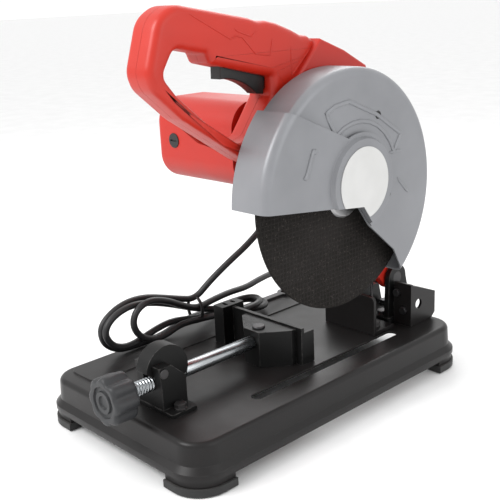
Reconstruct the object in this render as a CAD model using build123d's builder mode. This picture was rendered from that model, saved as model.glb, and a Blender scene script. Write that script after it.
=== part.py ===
"""Abrasive chop saw for a 230 mm wheel: a pressed steel base with a screw vise, and a sprung
arm that carries the motor, the gears, the wheel, its guard and a D-handle.

Frame: millimetres, +Z up, +Y to the back, +X to the side where the wheel is.
The origin is at the middle of the base, on the floor.
"""
from build123d import *
import os
from math import atan2, cos, degrees, hypot, pi, radians, sin, sqrt, tan

os.makedirs("parts", exist_ok=True)

# ---------------------------------------------------------------- driving dimensions
BASE_LENGTH = 394.0
BASE_WIDTH = 242.0
BASE_TOP = 48.0              # height of the top face above the floor
CORNER_RADIUS = 32.0
SHEET = 2.0                  # pressed steel of the base
FOOT_DROP = 13.0             # from the lower edge of the skirt to the floor
FOOT_HEIGHT = 8.0            # rubber feet
FOOT_SCREWS_X = 204.0        # screw holes through the feet, side to side
FOOT_SCREWS_Y = 356.0        # and front to back
FOOT_SCREW_RADIUS = 2.6
WHEEL_RADIUS = 115.0
WHEEL_THICKNESS = 3.0
WHEEL_X = 80.5               # middle plane of the wheel
SPINDLE_Y = 37.0
SPINDLE_Z = 220.0
PIVOT_Y = 155.0
PIVOT_Z = 98.0
HANDLE_X = 36.0              # joint face of the two handle shells
HANDLE_WIDTH = 36.0
HANDLE_WALL = 3.5
GUARD_RADIUS = 120.5         # outer radius of the fixed guard
GUARD_WALL = 2.0
GUARD_BACK = 62.0
GUARD_FACE = 100.0
SCREW_X = 26.0
SCREW_Z = 73.0
SCREW_RADIUS = 7.0
CORD_DIAMETER = 7.2

# ---------------------------------------------------------------- fits
SLIDE_GAP = 0.4              # between faces that slide past each other
RUNNING_FIT = 0.05           # radial, shaft in a bore
BOLT_FIT = 0.3               # radial, bolt in a clearance hole

# ---------------------------------------------------------------- M6 and M5 hexagon bolts
M6_RADIUS = 3.0
M6_HEAD = 5.8                # radius to the corners
M6_HEAD_HEIGHT = 4.0
M6_WASHER = 6.2
WASHER = 1.2

# ---------------------------------------------------------------- base
HALF_W = BASE_WIDTH / 2
HALF_L = BASE_LENGTH / 2
BEAD_INSET = 5.0             # how far the wall stands in from the bead
EDGE_ROUND = 5.0             # top edge of the skirt
SLOT_WIDTH = 12.0
SLOT_FRONT = -92.0
SLOT_BACK = 122.0
PANEL_STEP = 1.5             # raised panel on the side away from the wheel

FENCE_Y = 98.0
FENCE_LEFT = 2.0
FENCE_RIGHT = 72.0
FENCE_THICK = 4.0
FENCE_TOP = 92.0
FENCE_FOOT_BACK = 133.0
FENCE_PIVOT = (60.0, 114.0)
FENCE_SLOT_RADIUS = 43.0
FENCE_SWING = 15.0

BRACKET_FRONT = 137.0
BRACKET_BACK = 183.0
BRACKET_LEFT = 6.0
BRACKET_RIGHT = 62.0
WING_RIGHT = 80.0            # end of the wing that carries the stop plate
WING_TOP = 89.0
BRACKET_FOOT = 6.0
LUG_THICK = 6.0
LUG_LEFT = 12.0              # outer face of the left lug
LUG_RIGHT = 60.0             # outer face of the right lug
LUG_RADIUS = 15.0
PIN_RADIUS = 7.0

STOP_THICK = 3.0
STOP_FRONT = 145.0
STOP_LEFT = 63.0
STOP_RIGHT = 86.0
STOP_TOP_FRONT = 97.0
STOP_TOP_BACK = 79.0
STOP_BACK = 190.0

HOLDER_FRONT = -168.0
HOLDER_BACK = -140.0
HOLDER_HALF = 18.0           # half width of the body, about the screw
HOLDER_FLANGE = 32.0         # half width of the flange
HOLDER_FLANGE_THICK = 4.0
GROOVE_TOP = 72.4            # the holder's groove wraps just under half of the screw
NUT_HALF = 8.0               # half width of the half nut
NUT_RADIUS = 24.0
NUT_Y = -153.0
NUT_Z = 84.0
NUT_PIN_Y = -165.0
NUT_PIN_Z = 87.0
NUT_PIN_RADIUS = 3.0
NUT_SWING = 35.0

KNOB_RADIUS = 23.0
KNOB_FRONT = -220.0
KNOB_BACK = -194.0
JAW_FRONT = -40.0
JAW_BACK = -9.0
JAW_TOP = 86.0
JAW_PLATE = 4.0
JAW_PLATE_LEFT = -50.0
JAW_PLATE_RIGHT = 66.0
JOURNAL_RADIUS = 5.0
JOURNAL_END = -24.0

# ---------------------------------------------------------------- gear train
GEAR_MODULE = 1.5
PINION_TEETH = 14
GEAR_TEETH = 68
CENTRES = GEAR_MODULE * (PINION_TEETH + GEAR_TEETH) / 2
MOTOR_Y = 0.0
MOTOR_Z = SPINDLE_Z + sqrt(CENTRES ** 2 - (SPINDLE_Y - MOTOR_Y) ** 2)
GEAR_LEFT = 32.0
GEAR_RIGHT = 42.0
PINION_LEFT = 30.0
PINION_RIGHT = 44.0
SPINDLE_RADIUS = 6.0
SHAFT_RADIUS = 4.0

CASE_LEFT = 24.0             # joint face of the bearing plate and the gear housing
CASE_RIGHT = 60.0
CASE_WALL = 4.0
PLATE_LEFT = 14.0
SPINDLE_BEARING = (14.0, 8.0)    # outer radius, width
MOTOR_BEARING = (11.0, 7.0)
BEAM_RIGHT = 52.0            # the arm's beam runs from the joint face to here
SPRING_GAP = 7.0             # half width of the spring's space, about the middle of the beam
MOTOR_SIDE = 84.0            # the motor housing is square with large round corners
MOTOR_CORNER = 26.0
MOTOR_LEFT = -86.0
CAP_LEFT = -103.0
MOTOR_WALL = 3.5

HUB_Y = 41.0                 # pivot of the front cover
HUB_Z = 232.0
HUB_RADIUS = 48.0
COVER_RADIUS = 126.0
COVER_FACE = 103.5
LABEL_RADIUS = 35.0
LABEL_FACE = 108.0

YZ = Plane.YZ


# ================================================================ base tray
with BuildLine() as skirt_path:
    inner_x = HALF_W - CORNER_RADIUS
    inner_y = HALF_L - CORNER_RADIUS
    Line((HALF_W, 0), (HALF_W, inner_y))
    CenterArc((inner_x, inner_y), CORNER_RADIUS, 0, 90)
    Line((inner_x, HALF_L), (-inner_x, HALF_L))
    CenterArc((-inner_x, inner_y), CORNER_RADIUS, 90, 90)
    Line((-HALF_W, inner_y), (-HALF_W, -inner_y))
    CenterArc((-inner_x, -inner_y), CORNER_RADIUS, 180, 90)
    Line((-inner_x, -HALF_L), (inner_x, -HALF_L))
    CenterArc((inner_x, -inner_y), CORNER_RADIUS, 270, 90)
    Line((HALF_W, -inner_y), (HALF_W, 0))

base_bolts_at = [
    (SCREW_X - 25.0, (HOLDER_FRONT + HOLDER_BACK) / 2),
    (SCREW_X + 25.0, (HOLDER_FRONT + HOLDER_BACK) / 2),
    FENCE_PIVOT,
    (FENCE_PIVOT[0] - FENCE_SLOT_RADIUS, FENCE_PIVOT[1]),
    (LUG_LEFT + 14.0, BRACKET_BACK - 8.0),
    (LUG_RIGHT - 14.0, BRACKET_BACK - 8.0),
    (LUG_LEFT + 14.0, BRACKET_FRONT + 8.0),
    (LUG_RIGHT - 14.0, BRACKET_FRONT + 8.0),
]

with BuildPart() as base_plate:
    # the rolled skirt: bead, groove and wall, swept round the rounded rectangle
    with BuildSketch(Plane.XZ) as skirt_profile:
        with BuildLine():
            wall_x = HALF_W - BEAD_INSET
            lip_x = HALF_W - 22.0
            bead = Polyline(
                (HALF_W - 1.5, FOOT_DROP),
                (HALF_W, FOOT_DROP + 3.0),
                (HALF_W, FOOT_DROP + 8.0),
                (wall_x, FOOT_DROP + 13.5),
                (wall_x - 1.0, BASE_TOP - EDGE_ROUND),
            )
            rounding = RadiusArc(bead @ 1, (wall_x - 1.0 - EDGE_ROUND, BASE_TOP), -EDGE_ROUND)
            Line(rounding @ 1, (lip_x, BASE_TOP))
            offset(amount=SHEET, side=Side.LEFT)
        make_face()
    sweep(path=skirt_path.line)
    # the top panel with the wheel slot
    with BuildSketch(Plane.XY.offset(BASE_TOP - SHEET)):
        RectangleRounded(BASE_WIDTH - 30.0, BASE_LENGTH - 30.0, CORNER_RADIUS - 15.0)
    extrude(amount=SHEET)
    # raised panel away from the wheel
    with BuildSketch(Plane.XY.offset(BASE_TOP)):
        with Locations((-84.0, -8.0)):
            RectangleRounded(48.0, 330.0, 12.0)
    extrude(amount=PANEL_STEP, taper=20)
    # corner legs
    with BuildSketch(Plane.XY.offset(FOOT_HEIGHT)) as legs:
        RectangleRounded(BASE_WIDTH - 3.0, BASE_LENGTH - 3.0, CORNER_RADIUS - 1.5)
        RectangleRounded(
            BASE_WIDTH - 3.0 - 2 * SHEET,
            BASE_LENGTH - 3.0 - 2 * SHEET,
            CORNER_RADIUS - 1.5 - SHEET,
            mode=Mode.SUBTRACT,
        )
        with BuildSketch(mode=Mode.PRIVATE) as corner_windows:
            with GridLocations(BASE_WIDTH - 44.0, BASE_LENGTH - 44.0, 2, 2):
                Rectangle(46.0, 46.0)
        add(corner_windows.sketch, mode=Mode.INTERSECT)
    extrude(amount=6.5)
    with BuildSketch(Plane.XY.offset(BASE_TOP + PANEL_STEP)):
        with Locations((WHEEL_X, (SLOT_FRONT + SLOT_BACK) / 2)):
            SlotOverall(SLOT_BACK - SLOT_FRONT, SLOT_WIDTH, rotation=90)
        with Locations(*base_bolts_at):
            Circle(M6_RADIUS + BOLT_FIT)
    extrude(amount=-10.0, mode=Mode.SUBTRACT)
base_plate.part.label = "base_plate"

with BuildPart() as rubber_feet:
    with BuildSketch(Plane.XY):
        RectangleRounded(BASE_WIDTH + 1.0, BASE_LENGTH + 1.0, CORNER_RADIUS + 0.5)
        RectangleRounded(BASE_WIDTH - 34.0, BASE_LENGTH - 34.0, 18.0, mode=Mode.SUBTRACT)
        with BuildSketch(mode=Mode.PRIVATE) as foot_windows:
            with GridLocations(BASE_WIDTH - 44.0, BASE_LENGTH - 44.0, 2, 2):
                Rectangle(48.0, 48.0)
        add(foot_windows.sketch, mode=Mode.INTERSECT)
    extrude(amount=FOOT_HEIGHT)
    chamfer(rubber_feet.edges().group_by(Axis.Z)[0], 1.0)
    # screw hole through each foot
    with BuildSketch(Plane.XY):
        with GridLocations(FOOT_SCREWS_X, FOOT_SCREWS_Y, 2, 2):
            Circle(FOOT_SCREW_RADIUS)
    extrude(amount=FOOT_HEIGHT, mode=Mode.SUBTRACT)
rubber_feet.part.label = "rubber_feet"


# ================================================================ fence
with BuildPart() as fence:
    with BuildSketch(Plane.XY.offset(BASE_TOP + SLIDE_GAP)):
        with Locations(((FENCE_LEFT + FENCE_RIGHT) / 2, (FENCE_Y + FENCE_FOOT_BACK) / 2)):
            Rectangle(FENCE_RIGHT - FENCE_LEFT, FENCE_FOOT_BACK - FENCE_Y)
    extrude(amount=FENCE_THICK)
    with BuildSketch(Plane.XY.offset(BASE_TOP + SLIDE_GAP)):
        with Locations(((FENCE_LEFT + FENCE_RIGHT) / 2, FENCE_Y + FENCE_THICK / 2)):
            Rectangle(FENCE_RIGHT - FENCE_LEFT, FENCE_THICK)
    extrude(amount=FENCE_TOP - BASE_TOP - SLIDE_GAP)
    fillet(fence.edges().filter_by(Axis.Y).group_by(Axis.Z)[-1], 6.0)
    # pivot hole and arc slot
    with BuildSketch(Plane.XY.offset(BASE_TOP + SLIDE_GAP)):
        with Locations(FENCE_PIVOT):
            Circle(M6_RADIUS + BOLT_FIT)
        slot_line = CenterArc(
            FENCE_PIVOT, FENCE_SLOT_RADIUS, 180.0 - FENCE_SWING, FENCE_SWING, mode=Mode.PRIVATE
        )
        SlotArc(slot_line, 2 * (M6_RADIUS + BOLT_FIT))
    extrude(amount=FENCE_THICK, mode=Mode.SUBTRACT)
fence.part.label = "fence"


# ================================================================ pivot bracket
with BuildPart() as pivot_bracket:
    foot_middle = ((BRACKET_LEFT + BRACKET_RIGHT) / 2, (BRACKET_FRONT + BRACKET_BACK) / 2)
    with BuildSketch(Plane.XY.offset(BASE_TOP)):
        with Locations(foot_middle):
            RectangleRounded(BRACKET_RIGHT - BRACKET_LEFT, BRACKET_BACK - BRACKET_FRONT, 5.0)
    extrude(amount=BRACKET_FOOT)
    for lug_x in (LUG_LEFT, LUG_RIGHT - LUG_THICK):
        with BuildSketch(YZ.offset(lug_x)):
            with BuildLine():
                Polyline(
                    (BRACKET_FRONT + 1.0, BASE_TOP + BRACKET_FOOT - 1.0),
                    (BRACKET_BACK - 2.0, BASE_TOP + BRACKET_FOOT - 1.0),
                    (PIVOT_Y + LUG_RADIUS, PIVOT_Z),
                    (PIVOT_Y - LUG_RADIUS, PIVOT_Z),
                    close=True,
                )
            make_face()
            with Locations((PIVOT_Y, PIVOT_Z)):
                Circle(LUG_RADIUS)
        extrude(amount=LUG_THICK)
    # wing that carries the stop plate
    wing_left = LUG_RIGHT - 1.0
    with Locations((wing_left, STOP_FRONT + STOP_THICK, BASE_TOP)):
        Box(
            WING_RIGHT - wing_left, 6.0, WING_TOP - BASE_TOP,
            align=(Align.MIN, Align.MIN, Align.MIN),
        )
    with BuildSketch(YZ.offset(LUG_LEFT - 1.0)):
        with Locations((PIVOT_Y, PIVOT_Z)):
            Circle(PIN_RADIUS)
    extrude(amount=LUG_RIGHT - LUG_LEFT + 2.0, mode=Mode.SUBTRACT)
    with BuildSketch(Plane.XY.offset(BASE_TOP + BRACKET_FOOT)):
        with Locations(*base_bolts_at[4:]):
            Circle(M6_RADIUS + BOLT_FIT)
    extrude(amount=-BRACKET_FOOT, mode=Mode.SUBTRACT)
    stop_bolts_at = [(STOP_LEFT + 4.5, 85.0), (STOP_RIGHT - 9.5, 66.0)]
    with BuildSketch(Plane.XZ.offset(-(STOP_FRONT + STOP_THICK))):
        with Locations(*stop_bolts_at):
            Circle(2.5)
    extrude(amount=-6.0, mode=Mode.SUBTRACT)
pivot_bracket.part.label = "pivot_bracket"

with BuildPart() as stop_plate:
    # cheek beside the wheel
    with BuildSketch(YZ.offset(STOP_RIGHT - STOP_THICK)):
        with BuildLine():
            Polyline(
                (STOP_FRONT, BASE_TOP + 0.2),
                (STOP_BACK - 7.0, BASE_TOP + 0.2),
                (STOP_BACK, BASE_TOP + 6.0),
                (STOP_BACK, STOP_TOP_BACK),
                (STOP_FRONT, STOP_TOP_FRONT),
                close=True,
            )
        make_face()
        with Locations((159.0, 72.0)):
            Circle(5.5, mode=Mode.SUBTRACT)
    extrude(amount=STOP_THICK)
    # front plate
    with Locations((STOP_LEFT, STOP_FRONT, BASE_TOP + 0.2)):
        Box(
            STOP_RIGHT - STOP_LEFT, STOP_THICK, STOP_TOP_FRONT - BASE_TOP - 0.2,
            align=(Align.MIN, Align.MIN, Align.MIN),
        )
    # sloping top
    with BuildSketch(YZ.offset(STOP_LEFT)):
        with BuildLine():
            Polyline(
                (STOP_FRONT, STOP_TOP_FRONT),
                (STOP_BACK, STOP_TOP_BACK),
                (STOP_BACK, STOP_TOP_BACK - STOP_THICK),
                (STOP_FRONT, STOP_TOP_FRONT - STOP_THICK),
                close=True,
            )
        make_face()
    extrude(amount=STOP_RIGHT - STOP_LEFT)
    with BuildSketch(Plane.XZ.offset(-STOP_FRONT)):
        with Locations(*stop_bolts_at):
            Circle(2.5 + BOLT_FIT)
    extrude(amount=-STOP_THICK, mode=Mode.SUBTRACT)
stop_plate.part.label = "stop_plate"

with BuildPart() as stop_plate_bolts:
    with BuildSketch(Plane.XZ.offset(-STOP_FRONT)):
        with Locations(*stop_bolts_at):
            RegularPolygon(4.6, 6)
    extrude(amount=3.5)
    with BuildSketch(Plane.XZ.offset(-STOP_FRONT)):
        with Locations(*stop_bolts_at):
            Circle(2.5)
    extrude(amount=-9.0)
stop_plate_bolts.part.label = "stop_plate_bolts"

bolt_seats = [BASE_TOP + HOLDER_FLANGE_THICK] * 2
bolt_seats += [BASE_TOP + FENCE_THICK + 2 * SLIDE_GAP] * 2
bolt_seats += [BASE_TOP + BRACKET_FOOT] * 4
with BuildPart() as base_bolts:
    for place, seat in zip(base_bolts_at, bolt_seats):
        with BuildSketch(Plane.XY.offset(seat)):
            with Locations(place):
                Circle(M6_WASHER)
        extrude(amount=WASHER)
        with BuildSketch(Plane.XY.offset(seat + WASHER)):
            with Locations(place):
                RegularPolygon(M6_HEAD, 6)
        extrude(amount=M6_HEAD_HEIGHT)
        with BuildSketch(Plane.XY.offset(seat)):
            with Locations(place):
                Circle(M6_RADIUS)
        extrude(amount=-(seat - BASE_TOP + SHEET + 8.0))
        # nut under the base
        with BuildSketch(Plane.XY.offset(BASE_TOP - SHEET)):
            with Locations(place):
                RegularPolygon(M6_HEAD, 6)
        extrude(amount=-5.0)
base_bolts.part.label = "base_bolts"

with BuildPart() as pivot_pin:
    with BuildSketch(YZ.offset(LUG_LEFT)):
        with Locations((PIVOT_Y, PIVOT_Z)):
            Circle(PIN_RADIUS)
    extrude(amount=LUG_RIGHT - LUG_LEFT)
    with BuildSketch(YZ.offset(LUG_LEFT - 5.0)):
        with Locations((PIVOT_Y, PIVOT_Z)):
            RegularPolygon(11.0, 6)
    extrude(amount=5.0)
pivot_pin.part.label = "pivot_pin"


# ================================================================ return spring
BEAM_MIDDLE = HANDLE_X
SPRING_WIRE = 1.25           # radius of the wire
SPRING_RADIUS = 10.5
SPRING_TURNS = 2.88          # the two legs then lie along the bracket and along the arm
SPRING_PITCH = 3.4
SPRING_FOOT = 59.4           # the lower leg ends on the head of a bracket bolt
SPRING_LEG = 12.5            # the upper leg presses into the arm
coil_length = SPRING_PITCH * SPRING_TURNS
coil_end_angle = -2 * pi * SPRING_TURNS
coil_end = (SPRING_RADIUS * cos(coil_end_angle), SPRING_RADIUS * sin(coil_end_angle))
leg_direction = (sin(coil_end_angle), -cos(coil_end_angle), 0.0)

# drawn about +Z, then laid along the pivot
with BuildPart() as spring_coil:
    with BuildLine() as coil_line:
        Helix(SPRING_PITCH, coil_length, SPRING_RADIUS, lefthand=True)
    with BuildSketch(Plane(origin=coil_line.line @ 0, z_dir=coil_line.line % 0)):
        Circle(SPRING_WIRE)
    sweep(path=coil_line.line)
    with BuildSketch(Plane(origin=(SPRING_RADIUS, 0.0, 0.0), z_dir=(0, 1, 0))):
        Circle(SPRING_WIRE)
    extrude(amount=PIVOT_Z - SPRING_FOOT)
    with BuildSketch(Plane(origin=(*coil_end, coil_length), z_dir=leg_direction)):
        Circle(SPRING_WIRE)
    extrude(amount=SPRING_LEG)
coil_plane = Plane(
    origin=(BEAM_MIDDLE - coil_length / 2, PIVOT_Y, PIVOT_Z), x_dir=(0, -1, 0), z_dir=(1, 0, 0)
)
placed_spring = coil_plane.location * spring_coil.part
with BuildPart() as return_spring:
    add(placed_spring)
return_spring.part.label = "return_spring"


# ================================================================ vise holder and half nut
with BuildPart() as vise_holder:
    holder_y = (HOLDER_FRONT + HOLDER_BACK) / 2
    holder_depth = HOLDER_BACK - HOLDER_FRONT
    with BuildSketch(Plane.XY.offset(BASE_TOP)):
        with Locations((SCREW_X, holder_y)):
            RectangleRounded(2 * HOLDER_FLANGE, holder_depth + 2.0, 3.0)
    extrude(amount=HOLDER_FLANGE_THICK)
    with BuildSketch(Plane.XY.offset(BASE_TOP)):
        with Locations((SCREW_X, holder_y)):
            Rectangle(2 * HOLDER_HALF, holder_depth)
    extrude(amount=GROOVE_TOP - BASE_TOP)
    # ears each side of the half nut
    ear = HOLDER_HALF - NUT_HALF - SLIDE_GAP
    for ear_x in (SCREW_X - HOLDER_HALF, SCREW_X + HOLDER_HALF - ear):
        with BuildSketch(YZ.offset(ear_x)):
            with BuildLine():
                Polyline(
                    (HOLDER_FRONT, GROOVE_TOP - 1.0),
                    (HOLDER_BACK, GROOVE_TOP - 1.0),
                    (HOLDER_BACK, SCREW_Z + 5.0),
                    (NUT_PIN_Y + 9.0, NUT_PIN_Z + 6.0),
                    (HOLDER_FRONT - 2.0, NUT_PIN_Z + 6.0),
                    close=True,
                )
            make_face()
        extrude(amount=ear)
    # groove that carries the screw, and the bore of the half nut's pin
    with BuildSketch(Plane.XZ.offset(-HOLDER_FRONT + 2.0)):
        with Locations((SCREW_X, SCREW_Z)):
            Circle(SCREW_RADIUS + RUNNING_FIT)
    extrude(amount=-(holder_depth + 4.0), mode=Mode.SUBTRACT)
    with BuildSketch(YZ.offset(SCREW_X - HOLDER_HALF)):
        with Locations((NUT_PIN_Y, NUT_PIN_Z)):
            Circle(NUT_PIN_RADIUS)
    extrude(amount=2 * HOLDER_HALF, mode=Mode.SUBTRACT)
    with BuildSketch(Plane.XY.offset(BASE_TOP)):
        with Locations(*base_bolts_at[:2]):
            Circle(M6_RADIUS + BOLT_FIT)
    extrude(amount=HOLDER_FLANGE_THICK, mode=Mode.SUBTRACT)
vise_holder.part.label = "vise_holder"

with BuildPart() as half_nut_pin:
    with BuildSketch(YZ.offset(SCREW_X - HOLDER_HALF - 1.5)):
        with Locations((NUT_PIN_Y, NUT_PIN_Z)):
            Circle(NUT_PIN_RADIUS)
    extrude(amount=2 * HOLDER_HALF + 3.0)
    with BuildSketch(YZ.offset(SCREW_X + HOLDER_HALF)):
        with Locations((NUT_PIN_Y, NUT_PIN_Z)):
            Circle(NUT_PIN_RADIUS + 1.5)
    extrude(amount=1.5)
half_nut_pin.part.label = "half_nut_pin"

with BuildPart() as half_nut:
    swing = radians(NUT_SWING)
    clear = SCREW_RADIUS - (NUT_PIN_Z - SCREW_Z) + SLIDE_GAP
    with BuildSketch(YZ.offset(SCREW_X - NUT_HALF)):
        with Locations((NUT_Y, NUT_Z)):
            Circle(NUT_RADIUS)
        # flat underside, level with the axis of the screw
        with Locations((NUT_Y, SCREW_Z + 1.0)):
            Rectangle(4 * NUT_RADIUS, 2 * NUT_RADIUS, align=(Align.CENTER, Align.MAX),
                      mode=Mode.SUBTRACT)
        # relief in front of the pin, so that the nut can swing up off the screw
        with BuildLine():
            toe_y = NUT_PIN_Y - 30.0 * cos(swing) + clear * sin(swing)
            toe_z = NUT_PIN_Z + 30.0 * sin(swing) + clear * cos(swing)
            heel_y = NUT_PIN_Y + clear * sin(swing)
            heel_z = NUT_PIN_Z + clear * cos(swing)
            relief_y = NUT_PIN_Y + 2.0
            Polyline(
                (relief_y, heel_z),
                (heel_y, heel_z),
                (toe_y, toe_z),
                (toe_y - 10.0, SCREW_Z - 20.0),
                (relief_y, SCREW_Z - 20.0),
                close=True,
            )
        make_face(mode=Mode.SUBTRACT)
        with Locations((NUT_PIN_Y, NUT_PIN_Z)):
            Circle(NUT_PIN_RADIUS + RUNNING_FIT, mode=Mode.SUBTRACT)
    extrude(amount=2 * NUT_HALF)
    with BuildSketch(Plane.XZ.offset(-NUT_Y + 2 * NUT_RADIUS)):
        with Locations((SCREW_X, SCREW_Z)):
            Circle(SCREW_RADIUS + RUNNING_FIT)
    extrude(amount=-4 * NUT_RADIUS, mode=Mode.SUBTRACT)
half_nut.part.label = "half_nut"


# ================================================================ vise screw, knob and jaw
with BuildPart() as vise_screw:
    with BuildSketch(Plane.XZ.offset(-(KNOB_FRONT + 8.0))):
        with Locations((SCREW_X, SCREW_Z)):
            Circle(SCREW_RADIUS)
    extrude(amount=-(JAW_FRONT - SLIDE_GAP - KNOB_FRONT - 8.0))
    with BuildSketch(Plane.XZ.offset(-(JAW_FRONT - SLIDE_GAP))):
        with Locations((SCREW_X, SCREW_Z)):
            Circle(JOURNAL_RADIUS)
    extrude(amount=-(JOURNAL_END - JAW_FRONT))
    # groove for the set screw of the jaw
    with BuildSketch(Plane.XZ.offset(-(JOURNAL_END - 8.0))):
        with Locations((SCREW_X, SCREW_Z)):
            Circle(JOURNAL_RADIUS + 1.0)
            Circle(JOURNAL_RADIUS - 1.5, mode=Mode.SUBTRACT)
    extrude(amount=-5.0, mode=Mode.SUBTRACT)
vise_screw.part.label = "vise_screw"

with BuildPart() as vise_knob:
    with BuildSketch(Plane.XZ.offset(-KNOB_FRONT)):
        with Locations((SCREW_X, SCREW_Z)):
            Circle(KNOB_RADIUS)
        with Locations((SCREW_X, SCREW_Z)):
            with PolarLocations(KNOB_RADIUS + 2.5, 8, start_angle=22.5):
                Circle(5.5, mode=Mode.SUBTRACT)
    extrude(amount=-(KNOB_BACK - KNOB_FRONT))
    fillet(vise_knob.faces().sort_by(Axis.Y)[0].edges(), 1.6)
    fillet(vise_knob.faces().sort_by(Axis.Y)[-1].edges(), 1.0)
    # rings on the face
    with BuildSketch(Plane.XZ.offset(-KNOB_FRONT)):
        with Locations((SCREW_X, SCREW_Z)):
            Circle(15.0)
            Circle(11.0, mode=Mode.SUBTRACT)
            Circle(7.0)
    extrude(amount=-2.5, mode=Mode.SUBTRACT)
    with BuildSketch(Plane.XZ.offset(-(KNOB_FRONT + 8.0))):
        with Locations((SCREW_X, SCREW_Z)):
            Circle(SCREW_RADIUS)
    extrude(amount=-(KNOB_BACK - KNOB_FRONT), mode=Mode.SUBTRACT)
vise_knob.part.label = "vise_knob"

with BuildPart() as jaw_body:
    with BuildSketch(Plane.XY.offset(BASE_TOP + SLIDE_GAP)):
        with BuildLine():
            Polyline(
                (SCREW_X - 38.0, JAW_BACK),
                (SCREW_X + 32.0, JAW_BACK),
                (SCREW_X + 32.0, JAW_BACK - 6.0),
                (SCREW_X + 11.0, JAW_FRONT),
                (SCREW_X - 11.0, JAW_FRONT),
                (SCREW_X - 38.0, JAW_BACK - 8.0),
                close=True,
            )
        make_face()
    extrude(amount=JAW_TOP - BASE_TOP - SLIDE_GAP)
    with BuildSketch(Plane.XZ.offset(-JAW_FRONT)):
        with Locations((SCREW_X, SCREW_Z)):
            Circle(JOURNAL_RADIUS + RUNNING_FIT)
    extrude(amount=-(JOURNAL_END - JAW_FRONT + SLIDE_GAP), mode=Mode.SUBTRACT)
    with BuildSketch(Plane.XY.offset(JAW_TOP)):
        with Locations((SCREW_X, JOURNAL_END - 5.5)):
            Circle(2.0)
    extrude(amount=-(JAW_TOP - SCREW_Z), mode=Mode.SUBTRACT)
    jaw_screws_at = [(SCREW_X - 26.0, 68.0), (SCREW_X + 22.0, 68.0)]
    with BuildSketch(Plane.XZ.offset(-JAW_BACK)):
        with Locations(*jaw_screws_at):
            Circle(2.0)
    extrude(amount=4.0, mode=Mode.SUBTRACT)
jaw_body.part.label = "jaw_body"

with BuildPart() as jaw_set_screw:
    with BuildSketch(Plane.XY.offset(JAW_TOP)):
        with Locations((SCREW_X, JOURNAL_END - 5.5)):
            Circle(6.5)
    extrude(amount=2.5)
    fillet(jaw_set_screw.faces().sort_by(Axis.Z)[-1].edges(), 1.2)
    with BuildSketch(Plane.XY.offset(JAW_TOP)):
        with Locations((SCREW_X, JOURNAL_END - 5.5)):
            Circle(2.0)
    extrude(amount=-(JAW_TOP - SCREW_Z - JOURNAL_RADIUS + 1.5 - SLIDE_GAP))
jaw_set_screw.part.label = "jaw_set_screw"

with BuildPart() as jaw_face_plate:
    plate_low = BASE_TOP + SLIDE_GAP
    with Locations((JAW_PLATE_LEFT, JAW_BACK, plate_low)):
        Box(
            JAW_PLATE_RIGHT - JAW_PLATE_LEFT, JAW_PLATE, JAW_TOP + 2.0 - plate_low,
            align=(Align.MIN, Align.MIN, Align.MIN),
        )
    # folded end that steadies long work, open underneath
    with Locations((JAW_PLATE_LEFT, JAW_BACK - 14.0, plate_low)):
        Box(15.0, 30.0, 42.0, align=(Align.MIN, Align.MIN, Align.MIN))
    with Locations((JAW_PLATE_LEFT + 3.0, JAW_BACK - 11.0, plate_low)):
        Box(9.0, 24.0, 39.0, align=(Align.MIN, Align.MIN, Align.MIN), mode=Mode.SUBTRACT)
    with BuildSketch(Plane.XY.offset(plate_low + 42.0)):
        with Locations((JAW_PLATE_LEFT + 7.5, JAW_BACK + 1.0)):
            with GridLocations(0, 11.0, 1, 2):
                SlotOverall(8.0, 4.0)
    extrude(amount=-4.0, mode=Mode.SUBTRACT)
    # foot lug at the wheel side
    with Locations((JAW_PLATE_RIGHT - 2.0, JAW_BACK + JAW_PLATE, plate_low)):
        Box(2.0, 14.0, 34.0, align=(Align.MIN, Align.MIN, Align.MIN))
    with BuildSketch(Plane.XZ.offset(-(JAW_BACK + JAW_PLATE))):
        with Locations(*jaw_screws_at):
            Circle(4.0)
    extrude(amount=2.0, mode=Mode.SUBTRACT)
    with BuildSketch(Plane.XZ.offset(-(JAW_BACK + JAW_PLATE))):
        with Locations(*jaw_screws_at):
            Circle(2.0)
    extrude(amount=JAW_PLATE, mode=Mode.SUBTRACT)
jaw_face_plate.part.label = "jaw_face_plate"

with BuildPart() as jaw_plate_screws:
    with BuildSketch(Plane.XZ.offset(-(JAW_BACK + JAW_PLATE))):
        with Locations(*jaw_screws_at):
            Circle(4.0)
    extrude(amount=2.0)
    with BuildSketch(Plane.XZ.offset(-(JAW_BACK + JAW_PLATE - 2.0))):
        with Locations(*jaw_screws_at):
            Circle(2.0)
    extrude(amount=JAW_PLATE)
jaw_plate_screws.part.label = "jaw_plate_screws"


# ================================================================ gear housing and bearing plate
JOINT_TOP = (36.0, 366.0)
JOINT_BOTTOM = (-9.0, 321.0)
HOUSING_FRONT = -20.0
BEAM_HALF = 14.0
beam_angle = degrees(atan2(PIVOT_Z - SPINDLE_Z, PIVOT_Y - SPINDLE_Y))
SPINDLE_CENTRE = (SPINDLE_Y, SPINDLE_Z)
MOTOR_CENTRE = (MOTOR_Y, MOTOR_Z)
CAVITY_RADIUS = GEAR_MODULE * (GEAR_TEETH / 2 + 1) + 2.0
HOUSING_RADIUS = CAVITY_RADIUS + CASE_WALL

housing_outline = [
    JOINT_TOP,
    (70.0, 353.0),
    (103.0, 336.0),
    (113.0, 300.0),
    (104.0, 250.0),
    (SPINDLE_Y + 40.0, SPINDLE_Z - 30.0),
    (SPINDLE_Y - 40.0, SPINDLE_Z - 30.0),
    (HOUSING_FRONT, MOTOR_Z - 24.0),
    (HOUSING_FRONT, 300.0),
    JOINT_BOTTOM,
]

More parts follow.
